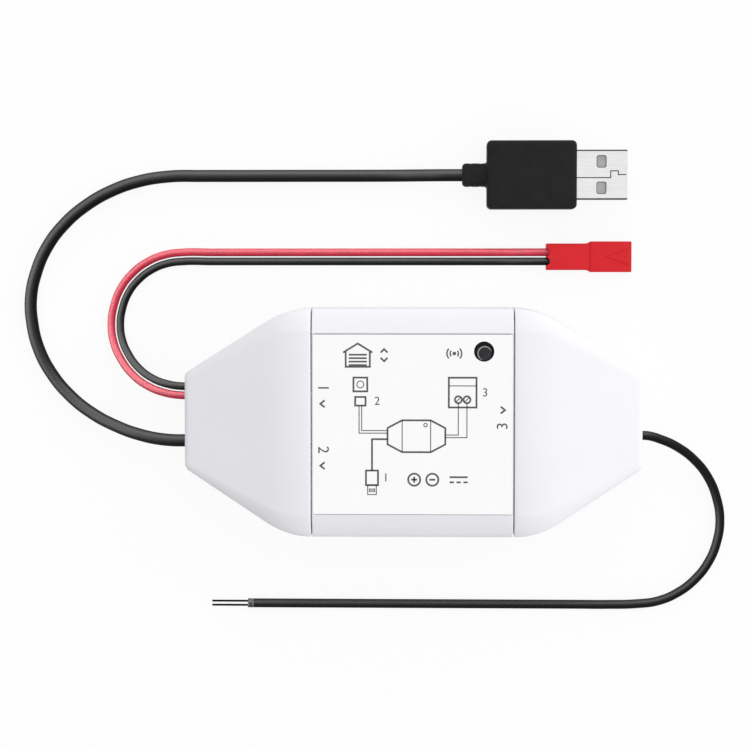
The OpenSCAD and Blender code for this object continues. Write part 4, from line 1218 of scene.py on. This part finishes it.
class CONTROLLER_OT_power_lead(bpy.types.Operator):
    """Build the power cord and its plug"""

    bl_idname = "controller.power_lead"
    bl_label = "Power Lead"

    def execute(self, context):
        leads = context.scene.controller_leads
        grip = self.grip(leads)
        shell = self.shell(leads)
        start = lead_exit("power_collar", -1)
        points = route_points(start, POWER_ROUTE, leads.power_cord, MOULD.middle("z")[0])
        cord = run_cord("power_cord_jacket", points, leads.power_cord)
        dress(cord, "black_pvc", "power_cord", look="cord_jacket")
        run_length(points)
        return {"FINISHED"}

    def grip(self, leads):
        """The moulded grip, from its grooved neck to the pocket that the shell sits in."""
        middle = MOULD.middle("yz")
        start = MOULD.low.x
        end = MOULD.high.x
        neck_end = start + leads.neck_length
        neck = (leads.neck_width / 2, leads.neck_height / 2)
        rings = bent_rings("x", start, neck_end, middle, neck, NECK_CORNER, NECK_EDGE)[:BEND_STEPS]
        for groove in NECK_GROOVES:
            for along, deep in GROOVE_STEPS:
                at = start + groove + along
                rings.append(oblong("x", at, middle, shrunk(neck, deep), NECK_CORNER - deep))
        rings.append(oblong("x", neck_end - NECK_FLARE, middle, neck, NECK_CORNER))
        rings.append(oblong("x", neck_end, middle, shrunk(neck, -NECK_FLARE), NECK_CORNER))
        rings += bent_rings("x", neck_end, end, middle, MOULD.half("yz"), GRIP_CORNER, leads.mould_round)
        grip = built("plug_grip", rings)
        carve(grip, bar("x", (SHELL.low.x, end + OVERCUT), middle, SHELL.half("yz"), POCKET_CORNER))
        radius = leads.power_cord / 2 + CORD_PLAY
        carve(grip, pin("x", (start - OVERCUT, start + CORD_BORE), middle, radius))
        return dress(smooth(grip), "black_pvc", "plug_overmould", look="plug_grip")

    def shell(self, leads):
        """The folded metal tube, with its windows on both sides."""
        middle = SHELL.middle("yz")
        sheet = leads.shell_metal
        start = SHELL.low.x
        end = SHELL.high.x
        stations = [(start, 0.0), (end - BEVEL, 0.0), (end, BEVEL), (end, sheet - BEVEL)]
        stations += [(end - BEVEL, sheet), (start, sheet)]
        rings = [
            oblong("x", at, middle, shrunk(SHELL.half("yz"), inset), SHELL_CORNER - inset, 7)
            for at, inset in stations
        ]
        shell = built("plug_tube", rings, closed=True)
        depths = ((-OVERCUT, 0.0), (-sheet, 0.0), (0.0, WINDOW_FLARE), (OVERCUT, WINDOW_FLARE))
        windows = []
        for y in (-WINDOW_AT, WINDOW_AT):
            spot = (end - WINDOW_BACK, middle[0] + y)
            for face, way in ((SHELL.high.z, 1), (SHELL.low.z, -1)):
                windows.append([
                    oblong("z", face + way * at, spot, shrunk(WINDOW_HALF, -wide), WINDOW_CORNER + wide)
                    for at, wide in depths
                ])
        carve(shell, *windows)

        # Fold where the two edges of the shell meet, with its tab
        tab_start = end - FOLD_TAB[0]
        tab_end = end - FOLD_TAB[1]
        fold = [(MOULD.high.x - FOLD_HIDDEN, FOLD_LINE), (tab_start, FOLD_LINE), (tab_start, FOLD_TAB[2])]
        fold += [(tab_end, FOLD_TAB[2]), (tab_end, 0.0), (end + FOLD_PAST, 0.0)]
        line = [(x, middle[0] + y) for x, y in fold]
        carve(shell, stroke(line, FOLD_WIDTH, SHELL.high.z - FOLD_DEPTH, SHELL.high.z + OVERCUT))
        return dress(smooth(shell), "tinned_steel", "plug_shell", look="plug_steel")


class CONTROLLER_OT_sensor_lead(bpy.types.Operator):
    """Build the red and black sensor wires and their two-way connector"""

    bl_idname = "controller.sensor_lead"
    bl_label = "Sensor Lead"

    def execute(self, context):
        leads = context.scene.controller_leads
        connector = self.connector(leads)
        start = lead_exit("sensor_collar", -1, -leads.sensor_pitch / 2)
        red_line = route_points(start, SENSOR_ROUTE, leads.sensor_wire, WIRE_LEVEL)
        lines = {"red": red_line, "black": beside(red_line, leads.sensor_pitch)}
        for tint, points in lines.items():
            wire = run_cord("sensor_insulation_" + tint, points, leads.sensor_wire)
            dress(wire, tint + "_pvc", "sensor_wire_" + tint)
            run_length(points)
        return {"FINISHED"}

    def connector(self, leads):
        """The stepped housing, with its wire entries, its mouth and the arrow on top."""
        y = CONNECTOR.middle("y")[0]
        start = CONNECTOR.low.x
        end = CONNECTOR.high.x
        high = CONNECTOR.high.z
        low = high - CONNECTOR_FALL
        step = end - leads.connector_step
        behind = ((y, low / 2), (leads.connector_narrow / 2, low / 2), CONNECTOR_CORNER)
        ahead = ((y, high / 2), (CONNECTOR.half("y")[0], high / 2), CONNECTOR_CORNER)
        rings = bent_rings("x", start, step, *behind, CONNECTOR_EDGE)[:BEND_STEPS]
        rings.append(oblong("x", step - CONNECTOR_BLEND, *behind))
        rings += bent_rings("x", step, end, *ahead, CONNECTOR_EDGE)
        body = built("connector_body", rings)
        wires = (y - leads.sensor_pitch / 2, y + leads.sensor_pitch / 2)
        for wire in wires:
            radius = leads.sensor_wire / 2 + WIRE_PLAY
            carve(body, pin("x", (start - OVERCUT, start + WIRE_BORE), (wire, WIRE_LEVEL), radius))
        mouth = (end - MOUTH_DEPTH, end + OVERCUT)
        carve(body, bar("x", mouth, (y, WIRE_LEVEL), MOUTH_HALF, MOUTH_CORNER))
        for wire in wires:
            spot = (start + leads.connector_entry - ENTRY_HALF[0], wire)
            carve(body, bar("z", (WIRE_LEVEL, high + OVERCUT), spot, ENTRY_HALF, ENTRY_CORNER))
        base = end - ARROW_BASE
        arrow = [Vector((end - ARROW_TIP, y)), *[Vector((base, y + side)) for side in ARROW_SIDES]]
        centre = Vector((base - ARROW_MIDDLE, y))
        rings = [
            [(*centre.lerp(point, share), at) for point in arrow]
            for at, share in ((high - ARROW_RISE, 1.0), (high, 1.0), (high + ARROW_RISE, ARROW_TOP))
        ]
        carve(body, rings, operation="UNION")
        return dress(smooth(body), "red_plastic", "sensor_connector")


def row_of(tree, count, start, apart, item):
    """A shape at each of a number of spots in a row."""
    spots = node(tree, "GeometryNodeMeshLine", Count=count, Start_Location=start, Offset=apart)
    row = node(tree, "GeometryNodeInstanceOnPoints", Points=spots.outputs[0], Instance=item)
    return row.outputs[0]


def spot_of(tree, **places):
    """A vector from its parts."""
    return node(tree, "ShaderNodeCombineXYZ", **places).outputs[0]


def core_tree():
    """Straight cores side by side."""
    labels = ["Start", "End", "Middle", "Height", "Pitch", "Diameter"]
    tree, size, material = tree_with_sizes("Bare Cores", labels)
    start = spot_of(tree, X=size["Start"], Z=size["Height"])
    end = spot_of(tree, X=size["End"], Z=size["Height"])
    line = node(tree, "GeometryNodeCurvePrimitiveLine", Start=start, End=end).outputs[0]
    rim = node(tree, "GeometryNodeCurvePrimitiveCircle", Resolution=16, Radius=size["Diameter"] * 0.5)
    core = node(tree, "GeometryNodeCurveToMesh", Curve=line, Profile_Curve=rim.outputs[0], Fill_Caps=True)
    first = spot_of(tree, Y=size["Middle"] - size["Pitch"] * 0.5)
    pair = row_of(tree, 2, first, spot_of(tree, Y=size["Pitch"]), core.outputs[0])
    return close_tree(tree, pair, material)


class CONTROLLER_OT_control_lead(bpy.types.Operator):
    """Build the control cord and its two bare cores"""

    bl_idname = "controller.control_lead"
    bl_label = "Control Lead"

    def execute(self, context):
        leads = context.scene.controller_leads
        start = lead_exit("control_collar", 1)
        points = route_points(start, CONTROL_ROUTE, leads.control_cord, start.z)
        cord = run_cord("control_cord_jacket", points, leads.control_cord)
        dress(cord, "black_pvc", "control_cord", look="cord_jacket")
        middle, height = CORES.middle("yz")
        values = {
            "Start": CORES.low.x, "End": CORES.high.x + CORE_OVERLAP, "Middle": middle, "Height": height,
            "Pitch": leads.core_pitch, "Diameter": leads.core, "Material": finish("black_pvc"),
        }
        cores = smooth(grown("control_core_pair", core_tree(), values))
        dress(cores, "black_pvc", "control_cores")
        run_length(points)
        return {"FINISHED"}


# Print and inner parts


def box_line(left, low, right, high):
    """Corners of a printed box."""
    return (left, low), (right, low), (right, high), (left, high)


def ring_line(x, y, radius, start=0.0, sweep=360.0, steps=24):
    """Points of a printed circle or arc, in degrees."""
    count = steps if sweep >= 360.0 else steps + 1
    turns = [math.radians(start + sweep * step / steps) for step in range(count)]
    return [(x + radius * math.cos(turn), y + radius * math.sin(turn)) for turn in turns]


def slat_tree():
    """Straight bars one above the other."""
    labels = ["Middle", "Bottom", "Height", "Width", "Pitch", "Thickness", "Depth"]
    tree, size, material = tree_with_sizes("Door Slats", labels)
    start = spot_of(tree, X=size["Middle"], Y=size["Bottom"], Z=size["Height"])
    shape = spot_of(tree, X=size["Width"], Y=size["Thickness"], Z=size["Depth"])
    slat = node(tree, "GeometryNodeMeshCube", Size=shape).outputs[0]
    return close_tree(tree, row_of(tree, 4, start, spot_of(tree, Y=size["Pitch"]), slat), material)


def numeral(text, x, y, turn, height):
    """A printed number as a mesh in its place."""
    data = bpy.data.curves.new("numeral", "FONT")
    data.body = text
    data.size = height / DIGIT_SHARE
    data.align_x = "CENTER"
    data.align_y = "CENTER"
    data.extrude = INK / 2
    made = linked("numeral", data)
    graph = bpy.context.evaluated_depsgraph_get()
    mesh = bpy.data.meshes.new_from_object(made.evaluated_get(graph))
    bpy.data.objects.remove(made)
    place = Matrix.Translation((x, y, LABEL.high.z + INK / 2)) @ Matrix.Rotation(math.radians(turn), 4, "Z")
    mesh.transform(place)
    return mesh


def printed_lines():
    """The lines of the print: a width, whether the line closes, and its points."""
    lines = []

    def line(width, *points):
        lines.append((width, False, points))

    def loop(width, points):
        lines.append((width, True, points))

    # Mark over the light pipe: a dot between two pairs of arcs
    x, y = PIPE.middle("xy")
    for radius in (0.00095, 0.0017):
        for start in (-42.0, 138.0):
            line(BOLD * 0.8, *ring_line(x, y, radius, start, 84.0, 12))
    loop(BOLD, ring_line(x, y, 0.00022, steps=12))

    # Garage with a slatted door, and the two ways it moves
    line(BOLD, (-0.0161, 0.0165), (-0.0127, 0.0186), (-0.0093, 0.0165))
    line(BOLD, (-0.0155, 0.0167), (-0.0155, 0.0132), (-0.0099, 0.0132), (-0.0099, 0.0167))
    for middle, rise in ((0.0169, 0.0004), (0.0149, -0.0004)):
        line(BOLD, (-0.0074, middle - rise), (-0.0066, middle + rise), (-0.0058, middle - rise))

    # The controller in the middle of the diagram, with its seams and button
    loop(BOLD, (
        (-0.0058, -0.001), (-0.0024, 0.0008), (0.0042, 0.0008), (0.0076, -0.001),
        (0.0076, -0.0048), (0.0042, -0.0066), (-0.0024, -0.0066), (-0.0058, -0.0048),
    ))
    for x in (-0.0024, 0.0042):
        line(THIN, (x, 0.0008), (x, -0.0066))
    loop(THIN, ring_line(0.003, -0.0003, 0.0004, steps=14))

    # Power lead to a plug
    line(BOLD, (-0.0058, -0.0036), (-0.0094, -0.0036), (-0.0094, -0.0109))
    loop(BOLD, box_line(-0.0108, -0.0143, -0.008, -0.0109))
    loop(THIN, box_line(-0.0104, -0.0165, -0.0084, -0.0143))
    for x in (-0.0098, -0.009):
        loop(THIN, box_line(x - 0.0002, -0.0158, x + 0.0002, -0.0152))

    # Two wires to a sensor
    for x, y in ((-0.0124, -0.0022), (-0.0118, -0.0016)):
        line(THIN, (-0.0058, y), (x, y), (x, 0.0042))
    loop(BOLD, box_line(-0.0133, 0.0042, -0.0109, 0.0062))
    loop(BOLD, box_line(-0.0137, 0.0075, -0.0105, 0.0107))
    loop(THIN, ring_line(-0.0121, 0.0091, 0.0008))

    # Two cores to the terminals of a door drive
    for x, y in ((0.0106, -0.0026), (0.0126, -0.0032)):
        line(THIN, (0.0076, y), (x, y), (x, 0.0048))
    for x in (0.0106, 0.0126):
        loop(BOLD, ring_line(x, 0.0056, 0.0008))
        line(THIN, (x - 0.0005, 0.0051), (x + 0.0005, 0.0061))
    loop(BOLD, box_line(0.0084, 0.0038, 0.0148, 0.0107))
    line(THIN, (0.0084, 0.0088), (0.0148, 0.0088))

    # Direct current mark and polarity
    line(BOLD, (0.0086, -0.0124), (0.0128, -0.0124))
    for x in (0.0086, 0.0102, 0.0118):
        line(BOLD, (x, -0.0136), (x + 0.001, -0.0136))
    for x in (0.0004, 0.0046):
        loop(BOLD, ring_line(x, -0.013, 0.0014))
        line(BOLD, (x - 0.0007, -0.013), (x + 0.0007, -0.013))
    line(BOLD, (0.0004, -0.0137), (0.0004, -0.0123))

    # Small arrows beside the numbers on the two strips
    for x, y, reach in ((-0.0209, 0.0046, -0.0005), (-0.0209, -0.0098, -0.0005), (0.0209, 0.0032, 0.0005)):
        line(BOLD, (x - reach, y + 0.0008), (x + reach, y), (x - reach, y - 0.0008))
    return lines


# Numbers of the print: place, turn in degrees and height, first on the two strips and then in the diagram
NUMERALS = (
    ("1", -0.0208, 0.0083, -90.0, 0.0026), ("2", -0.0208, -0.0061, -90.0, 0.0026),
    ("3", 0.0209, -0.0005, 90.0, 0.0026), ("1", -0.0062, -0.0126, 0.0, 0.002),
    ("2", -0.0082, 0.0052, 0.0, 0.002), ("3", 0.0168, 0.0072, 0.0, 0.002),
)


class CONTROLLER_OT_label_print(bpy.types.Operator):
    """Print a plain lead diagram on the label"""

    bl_idname = "controller.label_print"
    bl_label = "Label Print"

    def execute(self, context):
        low = LABEL.high.z
        meshes = [
            mesh_of("stroke", stroke(points, width, low, low + INK, closed), closed=closed)
            for width, closed, points in printed_lines()
        ]
        meshes += [numeral(*spot) for spot in NUMERALS]
        slats = grown("door_slats", slat_tree(), {
            "Middle": -0.0127, "Bottom": 0.0136, "Height": low + INK / 2, "Width": 0.0042, "Pitch": 0.0008,
            "Thickness": 0.0004, "Depth": INK, "Material": finish("label_ink"),
        })
        shape = bmesh.new()
        for mesh in meshes:
            shape.from_mesh(mesh)
            bpy.data.meshes.remove(mesh)
        shape.from_mesh(slats.data)
        bpy.data.objects.remove(slats)
        mesh = bpy.data.meshes.new("label_print")
        shape.to_mesh(mesh)
        shape.free()
        dress(linked("label_print", mesh), "label_film", look="label_ink")
        return {"FINISHED"}


class CONTROLLER_OT_inner_finishes(bpy.types.Operator):
    """Give every solid that still shows its finish"""

    bl_idname = "controller.inner_finishes"
    bl_label = "Inner Finishes"

    def execute(self, context):
        for part in frame["record"]["subparts"]:
            solid = frame["nodes"][part["node"]]
            solid.data.materials.clear()
            solid.data.materials.append(finish(part["material_slot"]))
        return {"FINISHED"}


# Stage


class CONTROLLER_OT_stage(bpy.types.Operator):
    """Build the floor, the light and the camera"""

    bl_idname = "controller.stage"
    bl_label = "Stage"

    def execute(self, context):
        scene = context.scene
        scene.view_settings.view_transform = "Standard"
        self.floor()
        self.sky(scene)
        lit = self.gathered("Sheen", SHEEN_PIECES)
        shading = self.gathered("Shade", SHEEN_PIECES + SHADE_PIECES)
        for name, direction in LAMPS.items():
            self.lamp(name, direction, lit, shading)
        camera = linked("Camera", bpy.data.cameras.new("Camera"))
        camera.data.sensor_width = CAMERA_SENSOR
        camera.data.lens = CAMERA_LENS
        camera.data.clip_start = CAMERA_NEAR
        self.aim(camera, CAMERA_AT, CAMERA_TARGET)
        scene.camera = camera
        return {"FINISHED"}

    def aim(self, item, place, target):
        """Puts a camera or a lamp in its place, with +Y upright."""
        back = (place - target).normalized()
        right = Vector((0.0, 1.0, 0.0)).cross(back).normalized()
        up = back.cross(right)
        turn = Matrix((right, up, back)).transposed().to_4x4()
        item.matrix_world = Matrix.Translation(place) @ turn

    def gathered(self, name, pieces):
        """A collection of the named pieces."""
        made = bpy.data.collections.new(name)
        for piece in pieces:
            made.objects.link(bpy.data.objects[piece])
        return made

    def lamp(self, name, direction, lit, shading):
        """A soft lamp that is flagged off all but the given pieces, and shows only in their gloss."""
        light = bpy.data.lights.new(name, "AREA")
        light.shape = "DISK"
        light.size = LAMP_WIDTH
        light.energy = LAMP_POWER
        made = linked(name, light)
        made.visible_diffuse = False
        made.light_linking.receiver_collection = lit
        made.light_linking.blocker_collection = shading
        self.aim(made, direction.normalized() * LAMP_DISTANCE, LAMP_TARGET)

    def seen(self, tree):
        """1 for rays from the camera and through gloss or glass, and 0 for light on the object."""
        path = tree.nodes.new("ShaderNodeLightPath").outputs
        direct = reckon(tree, "MAXIMUM", path["Is Camera Ray"], path["Is Glossy Ray"])
        return direct.math("MAXIMUM", path["Is Transmission Ray"])

    def sky(self, scene):
        """A white backdrop, which lights the part from the upper right."""
        scene.world = bpy.data.worlds.new("Studio")
        tree = emptied(scene.world)
        place = tree.nodes.new("ShaderNodeTexCoord")
        slope = tree.nodes.new("ShaderNodeVectorMath")
        slope.operation = "DOT_PRODUCT"
        feed(tree, slope.inputs[0], place.outputs["Generated"])
        slope.inputs[1].default_value = SKY_SLOPE
        light = Field(tree, slope.outputs["Value"]) + SKY_LEVEL
        light = light.math("MINIMUM", SKY_MOST).math("MAXIMUM", SKY_LEAST)
        backdrop = node(tree, "ShaderNodeBackground", Strength=pick(self.seen(tree), light, 1.0), Color=WHITE)
        node(tree, "ShaderNodeOutputWorld", Surface=backdrop.outputs[0])

    def floor(self):
        """A white sheet that still takes the part's soft shadow."""
        corners = [(-1, -1), (1, -1), (1, 1), (-1, 1)]
        mesh = bpy.data.meshes.new("Floor")
        points = [(x * FLOOR_HALF, y * FLOOR_HALF, FLOOR_LEVEL) for x, y in corners]
        mesh.from_pydata(points, [], [(0, 1, 2, 3)])
        ground = linked("Floor", mesh)
        material = bpy.data.materials.new("Floor")
        tree = emptied(material)
        paper = node(tree, "ShaderNodeBsdfDiffuse", Color=FLOOR_GREY)
        glow = node(tree, "ShaderNodeEmission", Color=WHITE, Strength=1.0)
        mixed = tree.nodes.new("ShaderNodeMixShader")
        for number, value in enumerate((self.seen(tree) * FLOOR_GLOW, paper.outputs[0], glow.outputs[0])):
            feed(tree, mixed.inputs[number], value)
        node(tree, "ShaderNodeOutputMaterial", Surface=mixed.outputs[0])
        mesh.materials.append(material)


OPERATORS = (
    CONTROLLER_OT_end_caps,
    CONTROLLER_OT_centre_sleeve,
    CONTROLLER_OT_pairing_button,
    CONTROLLER_OT_power_lead,
    CONTROLLER_OT_sensor_lead,
    CONTROLLER_OT_control_lead,
    CONTROLLER_OT_label_print,
    CONTROLLER_OT_inner_finishes,
    CONTROLLER_OT_stage,
)


class CONTROLLER_PT_sidebar(bpy.types.Panel):
    """Lists the sizes, the colours and the pieces"""

    bl_idname = "CONTROLLER_PT_sidebar"
    bl_label = "Garage Door Controller"
    bl_space_type = "VIEW_3D"
    bl_region_type = "UI"
    bl_category = "Controller"

    def draw(self, context):
        for operator in OPERATORS:
            self.layout.operator(operator.bl_idname)
        for group in ("controller_case", "controller_leads", "controller_colours"):
            box = self.layout.box()
            values = getattr(context.scene, group)
            for name in values.bl_rna.properties.keys():
                if name not in ("rna_type", "name"):
                    box.prop(values, name)


GROUPS = {
    "controller_case": ControllerCaseSizes,
    "controller_leads": ControllerLeadSizes,
    "controller_colours": ControllerColours,
}
CLASSES = (*GROUPS.values(), *OPERATORS, CONTROLLER_PT_sidebar)


def register():
    for item in CLASSES:
        bpy.utils.register_class(item)
    for name, group in GROUPS.items():
        setattr(bpy.types.Scene, name, PointerProperty(type=group))


def unregister():
    for name in GROUPS:
        delattr(bpy.types.Scene, name)
    for item in reversed(CLASSES):
        bpy.utils.unregister_class(item)


def main():
    register()
    for operator in OPERATORS:
        getattr(bpy.ops.controller, operator.bl_idname.split(".")[1])()


if __name__ == "__main__":
    main()
